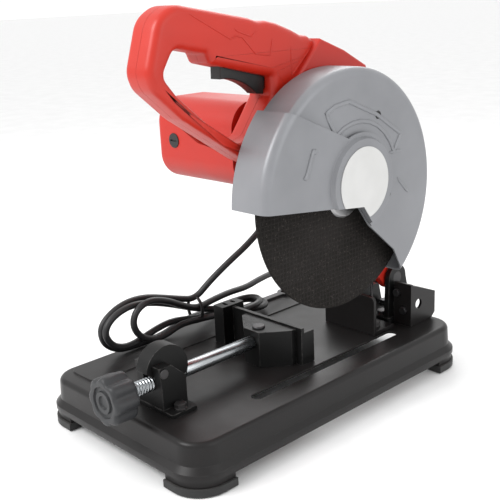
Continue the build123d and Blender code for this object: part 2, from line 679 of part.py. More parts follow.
with BuildPart() as gear_housing:
    with BuildSketch(YZ.offset(CASE_LEFT)) as housing_face:
        with BuildLine():
            Polyline(*housing_outline, close=True)
        make_face()
        with Locations(SPINDLE_CENTRE):
            Circle(HOUSING_RADIUS)
    extrude(amount=CASE_RIGHT - CASE_LEFT)
    fillet(gear_housing.faces().sort_by(Axis.X)[-1].outer_wire().edges(), 2.5)
    # beam down to the pivot
    with BuildSketch(YZ.offset(CASE_LEFT)):
        with Locations(SPINDLE_CENTRE):
            with Locations(Location((0, 0, 0), (0, 0, beam_angle))):
                Rectangle(
                    hypot(PIVOT_Y - SPINDLE_Y, PIVOT_Z - SPINDLE_Z), 2 * BEAM_HALF,
                    align=(Align.MIN, Align.CENTER),
                )
        with Locations((PIVOT_Y, PIVOT_Z)):
            Circle(BEAM_HALF)
    extrude(amount=BEAM_RIGHT - CASE_LEFT)
    # gear space
    with BuildSketch(YZ.offset(CASE_LEFT)):
        with Locations(SPINDLE_CENTRE):
            Circle(CAVITY_RADIUS)
        with Locations(MOTOR_CENTRE):
            Circle(16.0)
    extrude(amount=CASE_RIGHT - CASE_WALL - CASE_LEFT, mode=Mode.SUBTRACT)
    # bearing boss in the outer wall
    with BuildSketch(YZ.offset(CASE_RIGHT - SPINDLE_BEARING[1] - 3.0)):
        with Locations(SPINDLE_CENTRE):
            Circle(SPINDLE_BEARING[0] + 4.0)
    extrude(amount=SPINDLE_BEARING[1] + 1.0)
    with BuildSketch(YZ.offset(CASE_RIGHT - SPINDLE_BEARING[1] - 3.0)):
        with Locations(SPINDLE_CENTRE):
            Circle(SPINDLE_BEARING[0])
    extrude(amount=SPINDLE_BEARING[1] + 1.0, mode=Mode.SUBTRACT)
    with BuildSketch(YZ.offset(CASE_LEFT)):
        with Locations(SPINDLE_CENTRE):
            Circle(SPINDLE_RADIUS + 2.0)
    extrude(amount=CASE_RIGHT, mode=Mode.SUBTRACT)
    # spigot that carries the guard
    with BuildSketch(YZ.offset(CASE_RIGHT)):
        with Locations(SPINDLE_CENTRE):
            Circle(32.0)
            Circle(20.0, mode=Mode.SUBTRACT)
    extrude(amount=GUARD_BACK - CASE_RIGHT)
    # space of the return spring, and the bores of the bushes
    with BuildSketch(YZ.offset(BEAM_MIDDLE - SPRING_GAP)):
        with Locations((PIVOT_Y, PIVOT_Z)):
            Circle(BEAM_HALF + 3.0)
    extrude(amount=2 * SPRING_GAP, mode=Mode.SUBTRACT)
    BUSH_RADIUS = PIN_RADIUS + 2.0
    with BuildSketch(YZ.offset(CASE_LEFT)):
        with Locations((PIVOT_Y, PIVOT_Z)):
            Circle(BUSH_RADIUS)
    extrude(amount=CASE_RIGHT, mode=Mode.SUBTRACT)
gear_housing.part.label = "gear_housing"

housing_screws_at = [(100.0, 325.0), (98.0, 268.0), (58.0, 300.0), (-12.0, 220.0),
                     (45.0, 345.0)]
with BuildPart() as bearing_plate:
    with BuildSketch(YZ.offset(PLATE_LEFT)):
        with BuildLine():
            Polyline(*housing_outline, close=True)
        make_face()
        with Locations(SPINDLE_CENTRE):
            Circle(HOUSING_RADIUS)
    extrude(amount=CASE_LEFT - PLATE_LEFT)
    fillet(bearing_plate.faces().sort_by(Axis.X)[0].outer_wire().edges(), 2.5)
    with BuildSketch(YZ.offset(PLATE_LEFT + 2.0)):
        with Locations(SPINDLE_CENTRE):
            Circle(SPINDLE_BEARING[0])
    extrude(amount=SPINDLE_BEARING[1], mode=Mode.SUBTRACT)
    with BuildSketch(YZ.offset(PLATE_LEFT)):
        with Locations(MOTOR_CENTRE):
            Circle(MOTOR_BEARING[0])
    extrude(amount=CASE_LEFT - PLATE_LEFT, mode=Mode.SUBTRACT)
bearing_plate.part.label = "bearing_plate"

with BuildPart() as housing_screws:
    with BuildSketch(YZ.offset(PLATE_LEFT - 2.5)):
        with Locations(*housing_screws_at):
            Circle(4.0)
    extrude(amount=2.5)
housing_screws.part.label = "housing_screws"

with BuildPart() as pivot_bushes:
    bush_left = LUG_LEFT + LUG_THICK + SLIDE_GAP
    bush_right = LUG_RIGHT - LUG_THICK - SLIDE_GAP
    for start, end in ((bush_left, BEAM_MIDDLE - SPRING_GAP), (BEAM_MIDDLE + SPRING_GAP, bush_right)):
        with BuildSketch(YZ.offset(start)):
            with Locations((PIVOT_Y, PIVOT_Z)):
                Circle(BUSH_RADIUS)
                Circle(PIN_RADIUS + RUNNING_FIT, mode=Mode.SUBTRACT)
        extrude(amount=end - start)
pivot_bushes.part.label = "pivot_bushes"


# ================================================================ motor
with BuildPart() as motor_housing:
    with BuildSketch(YZ.offset(MOTOR_LEFT)):
        with Locations(MOTOR_CENTRE):
            RectangleRounded(MOTOR_SIDE, MOTOR_SIDE, MOTOR_CORNER)
    extrude(amount=PLATE_LEFT - MOTOR_LEFT)
    with BuildSketch(YZ.offset(MOTOR_LEFT)):
        with Locations(MOTOR_CENTRE):
            Circle(MOTOR_SIDE / 2 - MOTOR_WALL)
    extrude(amount=PLATE_LEFT - MOTOR_LEFT, mode=Mode.SUBTRACT)
    # round brush openings, front and back
    with BuildSketch(Plane.XZ.offset(MOTOR_SIDE)):
        with Locations((MOTOR_LEFT + 12.0, MOTOR_Z)):
            Circle(7.5)
    extrude(amount=-2 * MOTOR_SIDE, mode=Mode.SUBTRACT)
motor_housing.part.label = "motor_housing"

with BuildPart() as end_cap:
    with BuildSketch(YZ.offset(CAP_LEFT)):
        with Locations(MOTOR_CENTRE):
            RectangleRounded(MOTOR_SIDE, MOTOR_SIDE, MOTOR_CORNER)
    extrude(amount=MOTOR_LEFT - CAP_LEFT)
    fillet(end_cap.faces().sort_by(Axis.X)[0].edges(), 9.0)
    with BuildSketch(YZ.offset(CAP_LEFT + 4.0)):
        with Locations(MOTOR_CENTRE):
            Circle(MOTOR_SIDE / 2 - 7.0)
    extrude(amount=MOTOR_LEFT - CAP_LEFT, mode=Mode.SUBTRACT)
    with BuildSketch(YZ.offset(CAP_LEFT + 4.0)):
        with Locations(MOTOR_CENTRE):
            Circle(MOTOR_BEARING[0] + 3.0)
            Circle(MOTOR_BEARING[0], mode=Mode.SUBTRACT)
    extrude(amount=MOTOR_BEARING[1] + 1.0)
    # air slots
    with BuildSketch(YZ.offset(CAP_LEFT)):
        for row in (-2, -1, 0, 1, 2):
            for side in (-1, 1):
                with Locations((MOTOR_Y + side * 24.0, MOTOR_Z + 9.0 * row)):
                    SlotOverall(15.0, 3.2)
    extrude(amount=5.0, mode=Mode.SUBTRACT)
end_cap.part.label = "end_cap"

with BuildPart() as stator:
    with BuildSketch(YZ.offset(-60.0)):
        with Locations(MOTOR_CENTRE):
            Circle(MOTOR_SIDE / 2 - MOTOR_WALL)
            Circle(26.0, mode=Mode.SUBTRACT)
    extrude(amount=46.0)
stator.part.label = "stator"

with BuildPart() as brush_caps:
    for side in (-1, 1):
        with BuildSketch(Plane.XZ.offset(-side * (MOTOR_SIDE / 2 + 1.0))):
            with Locations((MOTOR_LEFT + 12.0, MOTOR_Z)):
                Circle(7.5)
        extrude(amount=side * 7.0)
        with BuildSketch(Plane.XZ.offset(-side * (MOTOR_SIDE / 2 + 1.0))):
            with Locations((MOTOR_LEFT + 12.0, MOTOR_Z)):
                Rectangle(10.0, 1.6)
        extrude(amount=side * 1.5, mode=Mode.SUBTRACT)
brush_caps.part.label = "brush_caps"

COMMUTATOR_RADIUS = 12.0
with BuildPart() as brushes:
    for side in (-1, 1):
        with Locations((MOTOR_LEFT + 12.0, MOTOR_Y + side * (COMMUTATOR_RADIUS + 12.3), MOTOR_Z)):
            Box(8.0, 23.4, 6.0)
brushes.part.label = "brushes"

with BuildPart() as ball_bearings:
    for bearing_x in (PLATE_LEFT + 1.5, CAP_LEFT + 4.0):
        with BuildSketch(YZ.offset(bearing_x)):
            with Locations(MOTOR_CENTRE):
                Circle(MOTOR_BEARING[0])
                Circle(SHAFT_RADIUS + RUNNING_FIT, mode=Mode.SUBTRACT)
        extrude(amount=MOTOR_BEARING[1])
    for bearing_x in (PLATE_LEFT + 2.0, CASE_RIGHT - SPINDLE_BEARING[1] - 2.0):
        with BuildSketch(YZ.offset(bearing_x)):
            with Locations(SPINDLE_CENTRE):
                Circle(SPINDLE_BEARING[0])
                Circle(SPINDLE_RADIUS + RUNNING_FIT, mode=Mode.SUBTRACT)
        extrude(amount=SPINDLE_BEARING[1])
ball_bearings.part.label = "ball_bearings"


# ================================================================ armature
def teeth_face(centre, teeth, turn):
    """Tooth tips of a spur gear: a trapezium for each tooth, on the open sketch."""
    pitch_radius = GEAR_MODULE * teeth / 2
    tip = pitch_radius + 0.8 * GEAR_MODULE
    root = pitch_radius - 1.3 * GEAR_MODULE
    half_tip = 0.24 * GEAR_MODULE
    half_root = 1.0 * GEAR_MODULE
    with Locations(centre):
        with PolarLocations(0.0, teeth, start_angle=turn):
            with BuildLine(mode=Mode.PRIVATE) as tooth:
                Polyline((root, -half_root), (tip, -half_tip), (tip, half_tip), (root, half_root),
                         close=True)
            add(make_face(tooth.edges(), mode=Mode.PRIVATE))


with BuildPart() as armature_shaft:
    with BuildSketch(YZ.offset(CAP_LEFT + 4.5)):
        with Locations(MOTOR_CENTRE):
            Circle(SHAFT_RADIUS)
    extrude(amount=PINION_RIGHT + 2.0 - CAP_LEFT - 4.5)
armature_shaft.part.label = "armature_shaft"


with BuildPart() as armature_core:
    with BuildSketch(YZ.offset(-58.0)):
        with Locations(MOTOR_CENTRE):
            Circle(25.0)
            Circle(SHAFT_RADIUS, mode=Mode.SUBTRACT)
            with PolarLocations(22.5, 12):
                SlotOverall(8.0, 3.0, mode=Mode.SUBTRACT)
    extrude(amount=42.0)
armature_core.part.label = "armature_core"

with BuildPart() as commutator:
    with BuildSketch(YZ.offset(MOTOR_LEFT + 4.0)):
        with Locations(MOTOR_CENTRE):
            Circle(COMMUTATOR_RADIUS)
            Circle(SHAFT_RADIUS, mode=Mode.SUBTRACT)
    extrude(amount=16.0)
commutator.part.label = "commutator"

with BuildPart() as fan:
    with BuildSketch(YZ.offset(2.0)):
        with Locations(MOTOR_CENTRE):
            Circle(34.0)
            Circle(SHAFT_RADIUS, mode=Mode.SUBTRACT)
    extrude(amount=1.6)
    with BuildSketch(YZ.offset(-7.0)):
        with Locations(MOTOR_CENTRE):
            with PolarLocations(24.0, 12):
                Rectangle(18.0, 1.4)
            Circle(9.0)
            Circle(SHAFT_RADIUS, mode=Mode.SUBTRACT)
    extrude(amount=9.5)
fan.part.label = "fan"

MESH_ANGLE = degrees(atan2(SPINDLE_Z - MOTOR_Z, SPINDLE_Y - MOTOR_Y))
with BuildPart() as pinion:
    with BuildSketch(YZ.offset(PINION_LEFT)):
        with Locations(MOTOR_CENTRE):
            Circle(GEAR_MODULE * (PINION_TEETH / 2 - 1.2))
        teeth_face(MOTOR_CENTRE, PINION_TEETH, MESH_ANGLE)
        with Locations(MOTOR_CENTRE):
            Circle(SHAFT_RADIUS, mode=Mode.SUBTRACT)
    extrude(amount=PINION_RIGHT - PINION_LEFT)
pinion.part.label = "pinion"


# ================================================================ spindle and wheel
GEAR_TURN = MESH_ANGLE + 180.0 + 180.0 / GEAR_TEETH
with BuildPart() as spindle_gear:
    with BuildSketch(YZ.offset(GEAR_LEFT)):
        with Locations(SPINDLE_CENTRE):
            Circle(GEAR_MODULE * (GEAR_TEETH / 2 - 1.2))
        teeth_face(SPINDLE_CENTRE, GEAR_TEETH, GEAR_TURN)
        with Locations(SPINDLE_CENTRE):
            Circle(SPINDLE_RADIUS, mode=Mode.SUBTRACT)
    extrude(amount=GEAR_RIGHT - GEAR_LEFT)
    # lightened web
    with BuildSketch(YZ.offset(GEAR_LEFT)):
        with Locations(SPINDLE_CENTRE):
            Circle(42.0)
            Circle(14.0, mode=Mode.SUBTRACT)
    extrude(amount=3.0, mode=Mode.SUBTRACT)
spindle_gear.part.label = "spindle_gear"

FLANGE_RADIUS = 24.0
FLANGE_LEFT = 71.0
WHEEL_LEFT = WHEEL_X - WHEEL_THICKNESS / 2
WHEEL_RIGHT = WHEEL_X + WHEEL_THICKNESS / 2
OUTER_FLANGE = 5.0
WHEEL_BORE = 11.1
with BuildPart() as spindle:
    with BuildSketch(YZ.offset(PLATE_LEFT + 2.5)):
        with Locations(SPINDLE_CENTRE):
            Circle(SPINDLE_RADIUS)
    extrude(amount=WHEEL_RIGHT - PLATE_LEFT - 2.5)
    with BuildSketch(YZ.offset(CASE_RIGHT + 0.5)):
        with Locations(SPINDLE_CENTRE):
            Circle(SPINDLE_RADIUS + 3.0)
    extrude(amount=FLANGE_LEFT - CASE_RIGHT - 0.5)
spindle.part.label = "spindle"

with BuildPart() as inner_flange:
    with BuildSketch(YZ.offset(FLANGE_LEFT)):
        with Locations(SPINDLE_CENTRE):
            Circle(FLANGE_RADIUS)
    extrude(amount=WHEEL_LEFT - FLANGE_LEFT)
    chamfer(inner_flange.faces().sort_by(Axis.X)[0].edges(), 2.0)
    with BuildSketch(YZ.offset(WHEEL_LEFT)):
        with Locations(SPINDLE_CENTRE):
            Circle(WHEEL_BORE)
    extrude(amount=WHEEL_THICKNESS)
    with BuildSketch(YZ.offset(FLANGE_LEFT)):
        with Locations(SPINDLE_CENTRE):
            Circle(SPINDLE_RADIUS)
    extrude(amount=WHEEL_RIGHT, mode=Mode.SUBTRACT)
inner_flange.part.label = "inner_flange"

with BuildPart() as wheel:
    with BuildSketch(YZ.offset(WHEEL_LEFT)):
        with Locations(SPINDLE_CENTRE):
            Circle(WHEEL_RADIUS)
            Circle(WHEEL_BORE, mode=Mode.SUBTRACT)
    extrude(amount=WHEEL_THICKNESS)
wheel.part.label = "wheel"

with BuildPart() as outer_flange:
    with BuildSketch(YZ.offset(WHEEL_RIGHT)):
        with Locations(SPINDLE_CENTRE):
            Circle(FLANGE_RADIUS)
    extrude(amount=OUTER_FLANGE)
    chamfer(outer_flange.faces().sort_by(Axis.X)[-1].edges(), 2.0)
    with BuildSketch(YZ.offset(WHEEL_RIGHT)):
        with Locations(SPINDLE_CENTRE):
            Circle(5.0)
    extrude(amount=OUTER_FLANGE, mode=Mode.SUBTRACT)
outer_flange.part.label = "outer_flange"

with BuildPart() as clamp_bolt:
    with BuildSketch(YZ.offset(WHEEL_RIGHT)):
        with Locations(SPINDLE_CENTRE):
            Circle(5.0)
    extrude(amount=OUTER_FLANGE)
    with BuildSketch(YZ.offset(WHEEL_RIGHT + OUTER_FLANGE)):
        with Locations(SPINDLE_CENTRE):
            RegularPolygon(9.8, 6)
    extrude(amount=6.0)
clamp_bolt.part.label = "clamp_bolt"


# ================================================================ guard
MOUTH = [(-129.0, 230.0), (39.0, 209.0), (56.0, 186.0), (96.0, 152.0), (111.0, 124.0)]
mouth_slope = (MOUTH[1][1] - MOUTH[0][1]) / (MOUTH[1][0] - MOUTH[0][0])
FAR = 190.0
GUARD_RIM = 8.0              # round rim of the fixed guard
mouth_far = (SPINDLE_Y - FAR, MOUTH[1][1] + mouth_slope * (SPINDLE_Y - FAR - MOUTH[1][0]))
below = [mouth_far, *MOUTH[1:], (150.0, 60.0), (150.0, 0.0), (SPINDLE_Y - FAR, 0.0)]

with BuildPart() as guard_inside:
    with BuildSketch(YZ.offset(GUARD_BACK + GUARD_WALL)):
        with Locations(SPINDLE_CENTRE):
            Circle(GUARD_RADIUS - GUARD_WALL)
    extrude(amount=GUARD_FACE - GUARD_BACK - 2 * GUARD_WALL)
    fillet(guard_inside.faces().sort_by(Axis.X)[-1].edges(), GUARD_RIM - GUARD_WALL)

with BuildPart() as guard_main:
    with BuildSketch(YZ.offset(GUARD_BACK)):
        with Locations(SPINDLE_CENTRE):
            Circle(GUARD_RADIUS)
    extrude(amount=GUARD_FACE - GUARD_BACK)
    fillet(guard_main.faces().sort_by(Axis.X)[-1].edges(), GUARD_RIM)
    add(guard_inside.part, mode=Mode.SUBTRACT)
    with BuildSketch(YZ.offset(GUARD_BACK)):
        with BuildLine():
            Polyline(*below, close=True)
        make_face()
    extrude(amount=GUARD_FACE, mode=Mode.SUBTRACT)
    # spindle nose, cover pivot and the small round hole
    with BuildSketch(YZ.offset(GUARD_BACK)):
        with Locations(SPINDLE_CENTRE):
            Circle(20.0)
    extrude(amount=GUARD_WALL, mode=Mode.SUBTRACT)
    with BuildSketch(YZ.offset(GUARD_FACE)):
        with Locations((HUB_Y, HUB_Z)):
            Circle(6.0)
    extrude(amount=-GUARD_WALL, mode=Mode.SUBTRACT)
guard_main.part.label = "guard_main"

guard_screws_at = [(SPINDLE_Y + 26.0 * cos(radians(a)), SPINDLE_Z + 26.0 * sin(radians(a)))
                   for a in (30, 90, 150)]
with BuildPart() as guard_screws:
    with BuildSketch(YZ.offset(GUARD_BACK + GUARD_WALL)):
        with Locations(*guard_screws_at):
            Circle(4.0)
    extrude(amount=2.5)
guard_screws.part.label = "guard_screws"

COVER_BACK = 61.0
COVER_INSET = 9.0
with BuildPart() as cover_inside:
    with BuildSketch(YZ.offset(COVER_BACK)):
        with Locations(SPINDLE_CENTRE):
            Circle(COVER_RADIUS - GUARD_WALL)
    extrude(amount=COVER_FACE - COVER_BACK - GUARD_WALL)
    fillet(cover_inside.faces().sort_by(Axis.X)[-1].edges(), COVER_INSET - GUARD_WALL)

with BuildPart() as cover_region:
    with BuildSketch(YZ.offset(COVER_BACK - 1.0)):
        with BuildLine():
            Polyline(
                (22.0, 277.0),
                (-106.0, 333.0),
                (-160.0, 333.0),
                mouth_far,
                MOUTH[1],
                MOUTH[2],
                (HUB_Y + 20.0, HUB_Z),
                close=True,
            )
        make_face()
        with Locations((HUB_Y, HUB_Z)):
            Circle(HUB_RADIUS)
    extrude(amount=COVER_FACE)

with BuildPart() as guard_cover:
    with BuildSketch(YZ.offset(COVER_BACK)):
        with Locations(SPINDLE_CENTRE):
            Circle(COVER_RADIUS)
    extrude(amount=COVER_FACE - COVER_BACK)
    fillet(guard_cover.faces().sort_by(Axis.X)[-1].edges(), COVER_INSET)
    add(cover_inside.part, mode=Mode.SUBTRACT)
    add(cover_region.part, mode=Mode.INTERSECT)
    # hub bulge
    with BuildSketch(YZ.offset(COVER_FACE - 1.0)):
        with Locations((HUB_Y, HUB_Z)):
            Circle(HUB_RADIUS - 3.0)
    extrude(amount=LABEL_FACE - COVER_FACE + 0.5, taper=30)
    with BuildSketch(YZ.offset(GUARD_BACK - 2.0)):
        with BuildLine():
            Polyline(*below, close=True)
        make_face()
    extrude(amount=GUARD_FACE, mode=Mode.SUBTRACT)
    with BuildSketch(YZ.offset(COVER_FACE - GUARD_WALL)):
        with Locations((HUB_Y, HUB_Z)):
            Circle(6.0 + RUNNING_FIT)
    extrude(amount=10.0, mode=Mode.SUBTRACT)
guard_cover.part.label = "guard_cover"

with BuildPart() as hub_label:
    with BuildSketch(YZ.offset(LABEL_FACE - 0.5)):
        with Locations((HUB_Y, HUB_Z)):
            Circle(LABEL_RADIUS)
        with BuildLine():
            Polyline(*below, close=True)
        make_face(mode=Mode.SUBTRACT)
    extrude(amount=0.8)
hub_label.part.label = "hub_label"

with BuildPart() as cover_pivot:
    with BuildSketch(YZ.offset(GUARD_FACE - GUARD_WALL)):
        with Locations((HUB_Y, HUB_Z)):
            Circle(6.0)
    extrude(amount=LABEL_FACE - 1.0 - GUARD_FACE + GUARD_WALL)
    with BuildSketch(YZ.offset(GUARD_FACE - GUARD_WALL)):
        with Locations((HUB_Y, HUB_Z)):
            Circle(9.0)
    extrude(amount=-2.0)
cover_pivot.part.label = "cover_pivot"


# ================================================================ D-handle, switch and trigger
handle_outer = [
    (-131.0, 404.0), (-148.0, 394.0), (-164.0, 350.0), (-160.0, 338.0), (-128.0, 309.0),
    (-56.0, 262.0), (HOUSING_FRONT, MOTOR_Z - 24.0), (HOUSING_FRONT, 300.0), JOINT_BOTTOM,
    JOINT_TOP, (0.0, 380.0), (-20.0, 386.0), (-60.0, 392.0),
]
handle_hole = [
    (-133.0, 369.0), (-99.0, 362.0), (-95.0, 353.0), (-24.0, 336.0), (-24.0, 318.0),
    (-50.0, 284.0), (-66.0, 280.0), (-84.0, 288.0), (-133.0, 330.0), (-147.0, 347.0),
]
TRIGGER_HALF = 7.0
TRIGGER_PIVOT = (-28.0, 344.0)
TRIGGER_FRONT = -77.0


def rounded(points, radius):
    """A closed outline with every corner rounded by one radius."""
    return FilletPolyline(*points, radius=radius, close=True)


with BuildPart() as handle_inside:
    with BuildSketch(YZ.offset(HANDLE_X - HANDLE_WIDTH / 2 + HANDLE_WALL)):
        with BuildLine():
            rounded(handle_outer, 4.0)
        make_face()
        offset(amount=-HANDLE_WALL)
    extrude(amount=HANDLE_WIDTH - 2 * HANDLE_WALL)
    with BuildSketch(YZ.offset(HANDLE_X - HANDLE_WIDTH / 2)):
        with BuildLine():
            rounded(handle_hole, 3.5)
        make_face()
        offset(amount=HANDLE_WALL)
    extrude(amount=HANDLE_WIDTH, mode=Mode.SUBTRACT)

with BuildPart() as handle_solid:
    with BuildSketch(YZ.offset(HANDLE_X - HANDLE_WIDTH / 2)):
        with BuildLine():
            rounded(handle_outer, 4.0)
        make_face()
        with BuildLine():
            rounded(handle_hole, 3.5)
        make_face(mode=Mode.SUBTRACT)
        with BuildLine():
            Polyline(*housing_outline, close=True)
        make_face(mode=Mode.SUBTRACT)
    extrude(amount=HANDLE_WIDTH)
    sides = handle_solid.faces().sort_by(Axis.X)
    fillet(sides[0].edges() + sides[-1].edges(), 3.0)
    add(handle_inside.part, mode=Mode.SUBTRACT)
    # opening for the trigger
    with Locations((HANDLE_X, TRIGGER_FRONT - 2.0, 330.0)):
        Box(
            2 * (TRIGGER_HALF + SLIDE_GAP), 59.0, 34.0,
            align=(Align.CENTER, Align.MIN, Align.MIN), mode=Mode.SUBTRACT,
        )

with BuildPart() as handle_left:
    add(handle_solid.part)
    split(bisect_by=YZ.offset(HANDLE_X), keep=Keep.BOTTOM)
    handle_screws_at = [(-141.0, 385.0), (-60.0, 376.0), (5.0, 362.0), (-146.0, 333.0),
                        (-40.0, 268.0)]
    with BuildSketch(YZ.offset(HANDLE_X - HANDLE_WIDTH / 2)):
        with Locations(*handle_screws_at):
            Circle(3.6)
    extrude(amount=2.0, mode=Mode.SUBTRACT)
handle_left.part.label = "handle_left"

with BuildPart() as handle_right:
    add(handle_solid.part)
    split(bisect_by=YZ.offset(HANDLE_X), keep=Keep.TOP)
handle_right.part.label = "handle_right"

with BuildPart() as handle_screws:
    with BuildSketch(YZ.offset(HANDLE_X - HANDLE_WIDTH / 2 + 2.0)):
        with Locations(*handle_screws_at):
            Circle(3.4)
    extrude(amount=-1.6)
handle_screws.part.label = "handle_screws"

with BuildPart() as trigger:
    with BuildSketch(YZ.offset(HANDLE_X - TRIGGER_HALF)):
        with BuildLine():
            front = Line((TRIGGER_FRONT, 352.0), (TRIGGER_FRONT - 0.5, 338.0))
            grip = ThreePointArc(front @ 1, (-52.0, 333.0), (-34.0, 321.0))
            Polyline(grip @ 1, (-26.0, 320.0), (-22.0, 340.0), (-22.0, 350.0),
                     (TRIGGER_FRONT, 352.0))
        make_face()
        with Locations(TRIGGER_PIVOT):
            Circle(1.5 + RUNNING_FIT, mode=Mode.SUBTRACT)
    extrude(amount=2 * TRIGGER_HALF)
    trigger_sides = trigger.faces().sort_by(Axis.X)
    fillet(trigger_sides[0].outer_wire().edges() + trigger_sides[-1].outer_wire().edges(), 1.2)
trigger.part.label = "trigger"

with BuildPart() as trigger_pin:
    with BuildSketch(YZ.offset(HANDLE_X - HANDLE_WIDTH / 2 + HANDLE_WALL)):
        with Locations(TRIGGER_PIVOT):
            Circle(1.5)
    extrude(amount=HANDLE_WIDTH - 2 * HANDLE_WALL)
trigger_pin.part.label = "trigger_pin"

SWITCH_BOTTOM = 362.0
with BuildPart() as switch_body:
    with Locations((HANDLE_X, -46.0, SWITCH_BOTTOM)):
        Box(20.0, 32.0, 18.0, align=(Align.CENTER, Align.CENTER, Align.MIN))
switch_body.part.label = "switch_body"

with BuildPart() as trigger_spring:
    spring_base = 351.8
    with BuildLine(Plane(origin=(HANDLE_X, -56.0, spring_base))) as spring_line:
        Helix(2.3, 9.2, 3.0)
    with BuildSketch(Plane(origin=spring_line.line @ 0, z_dir=spring_line.line % 0)):
        Circle(0.45)
    sweep(path=spring_line.line)
trigger_spring.part.label = "trigger_spring"


# ================================================================ mains cord
CORD_RADIUS = CORD_DIAMETER / 2
GLAND_X = -45.0
cord_lead_route = [
    (GLAND_X, 66.0, 240.0), (-46.0, 80.0, 222.0), (-50.0, 84.0, 194.0), (-59.0, 74.0, 165.0),
    (-67.0, 51.0, 141.0), (-77.0, 22.0, 120.0), (-84.0, 1.0, 103.0), (-90.0, -16.0, 86.0),
]
cord_tail_route = [
    (-90.0, 62.0, 79.0), (-97.0, 90.0, 80.0), (-107.0, 125.0, 78.0), (-110.0, 160.0, 70.0),
    (-104.0, 192.0, 59.0), (-92.0, 214.0, 39.0), (-82.0, 231.0, 18.0), (-78.0, 252.0, 7.0),
]


def cord_radii(points):
    """For each corner, the largest arc that its two runs have room for."""
    corners = [Vector(*p) for p in points]
    radii = []
    for before, here, after in zip(corners, corners[1:], corners[2:]):
        run = min((here - before).length, (after - here).length)
        turn = radians((here - before).get_angle(after - here))
        radii.append(0.45 * run / tan(turn / 2))
    return radii


def cord_tube(name, points):
    """A tube of the cord's diameter along straight runs joined by tangent arcs."""
    radii = cord_radii(points)
    with BuildPart() as tube:
        with BuildLine() as route:
            FilletPolyline(*points, radius=radii)
        with BuildSketch(Plane(origin=route.line @ 0, z_dir=route.line % 0)):
            Circle(CORD_RADIUS)
        sweep(path=route.wire())
    expected = pi * CORD_RADIUS ** 2 * route.wire().length
    print(name, "radii", [round(r) for r in radii], "length", round(route.wire().length, 1),
          "volume over section times length", round(tube.part.volume / expected, 4))
    tube.part.label = name
    return tube


cord_lead = cord_tube("cord_lead", cord_lead_route)
cord_tail = cord_tube("cord_tail", cord_tail_route)

with BuildPart() as cord_gland:
    gland_dir = Vector(*cord_lead_route[1]) - Vector(*cord_lead_route[0])
    gland_tip = Vector(*cord_lead_route[0]) - gland_dir.normalized() * SLIDE_GAP
    gland_plane = Plane(origin=gland_tip, x_dir=(1, 0, 0), z_dir=-gland_dir)
    with BuildSketch(gland_plane) as gland_small:
        Circle(CORD_RADIUS + 1.0)
    with BuildSketch(gland_plane.offset(26.0)) as gland_large:
        Circle(CORD_RADIUS + 3.6)
    loft()
    with BuildSketch(gland_plane.offset(26.0)):
        Circle(CORD_RADIUS + 5.5)
    extrude(amount=24.0)
    # seated on the back of the motor housing
    with BuildSketch(YZ.offset(GLAND_X - 20.0)):
        with Locations(MOTOR_CENTRE):
            RectangleRounded(MOTOR_SIDE, MOTOR_SIDE, MOTOR_CORNER)
    extrude(amount=40.0, mode=Mode.SUBTRACT)
cord_gland.part.label = "cord_gland"

HANK_X = -90.5               # middle of the tied bundle
HANK_HALF = 11.5
HANK_LOW = 49.6              # it lies on the raised panel
hank_outline = [
    (-141.0, 84.0), (-136.0, 100.0), (-118.0, 107.0), (-98.0, 109.0), (-60.0, 102.0),
    (-16.0, 89.0), (8.0, 86.0), (62.0, 83.0), (62.0, 66.0), (8.0, 60.0), (-14.0, 58.5),
    (-50.0, HANK_LOW), (-118.0, HANK_LOW), (-136.0, 62.0),
]
with BuildPart() as cord_hank:
    with BuildSketch(YZ.offset(HANK_X - HANK_HALF)):
        with BuildLine():
            Polyline(*hank_outline, close=True)
        make_face()
    extrude(amount=2 * HANK_HALF)
    # the space inside the front loops
    with BuildSketch(YZ.offset(HANK_X - HANK_HALF)):
        with BuildLine():
            Polyline((-128.0, 80.0), (-120.0, 94.0), (-80.0, 94.0), (-62.0, 84.0), (-62.0, 76.0),
                     (-90.0, 67.0), (-118.0, 67.0), close=True)
        make_face()
    extrude(amount=2 * HANK_HALF, mode=Mode.SUBTRACT)
    # the flat loops behind the tie
    with BuildSketch(Plane.XY.offset(53.6)):
        with Locations((-85.0, 41.0)):
            RectangleRounded(62.0, 98.0, 28.0)
            RectangleRounded(30.0, 62.0, 13.0, mode=Mode.SUBTRACT)
    extrude(amount=19.0)
cord_hank.part.label = "cord_hank"

TIE_Y = -14.0
TIE_Z = 74.0
with BuildPart() as cord_tie:
    with BuildSketch(Plane.XZ.offset(-TIE_Y)):
        with Locations((HANK_X, TIE_Z)):
            RectangleRounded(2 * HANK_HALF + 4.0, 34.0, 8.0)
            RectangleRounded(2 * HANK_HALF + 1.0, 31.0, 7.0, mode=Mode.SUBTRACT)
    extrude(amount=4.0)
cord_tie.part.label = "cord_tie"

COIL_CENTRE = (-122.0, 250.5)
COIL_MIDDLE = 38.0
with BuildPart() as cord_coil:
    with BuildSketch(Plane.XY.offset(0.2)):
        with Locations(COIL_CENTRE):
            Circle(COIL_MIDDLE + CORD_DIAMETER)
            Circle(COIL_MIDDLE - CORD_DIAMETER, mode=Mode.SUBTRACT)
    extrude(amount=2 * CORD_DIAMETER)
cord_coil.part.label = "cord_coil"

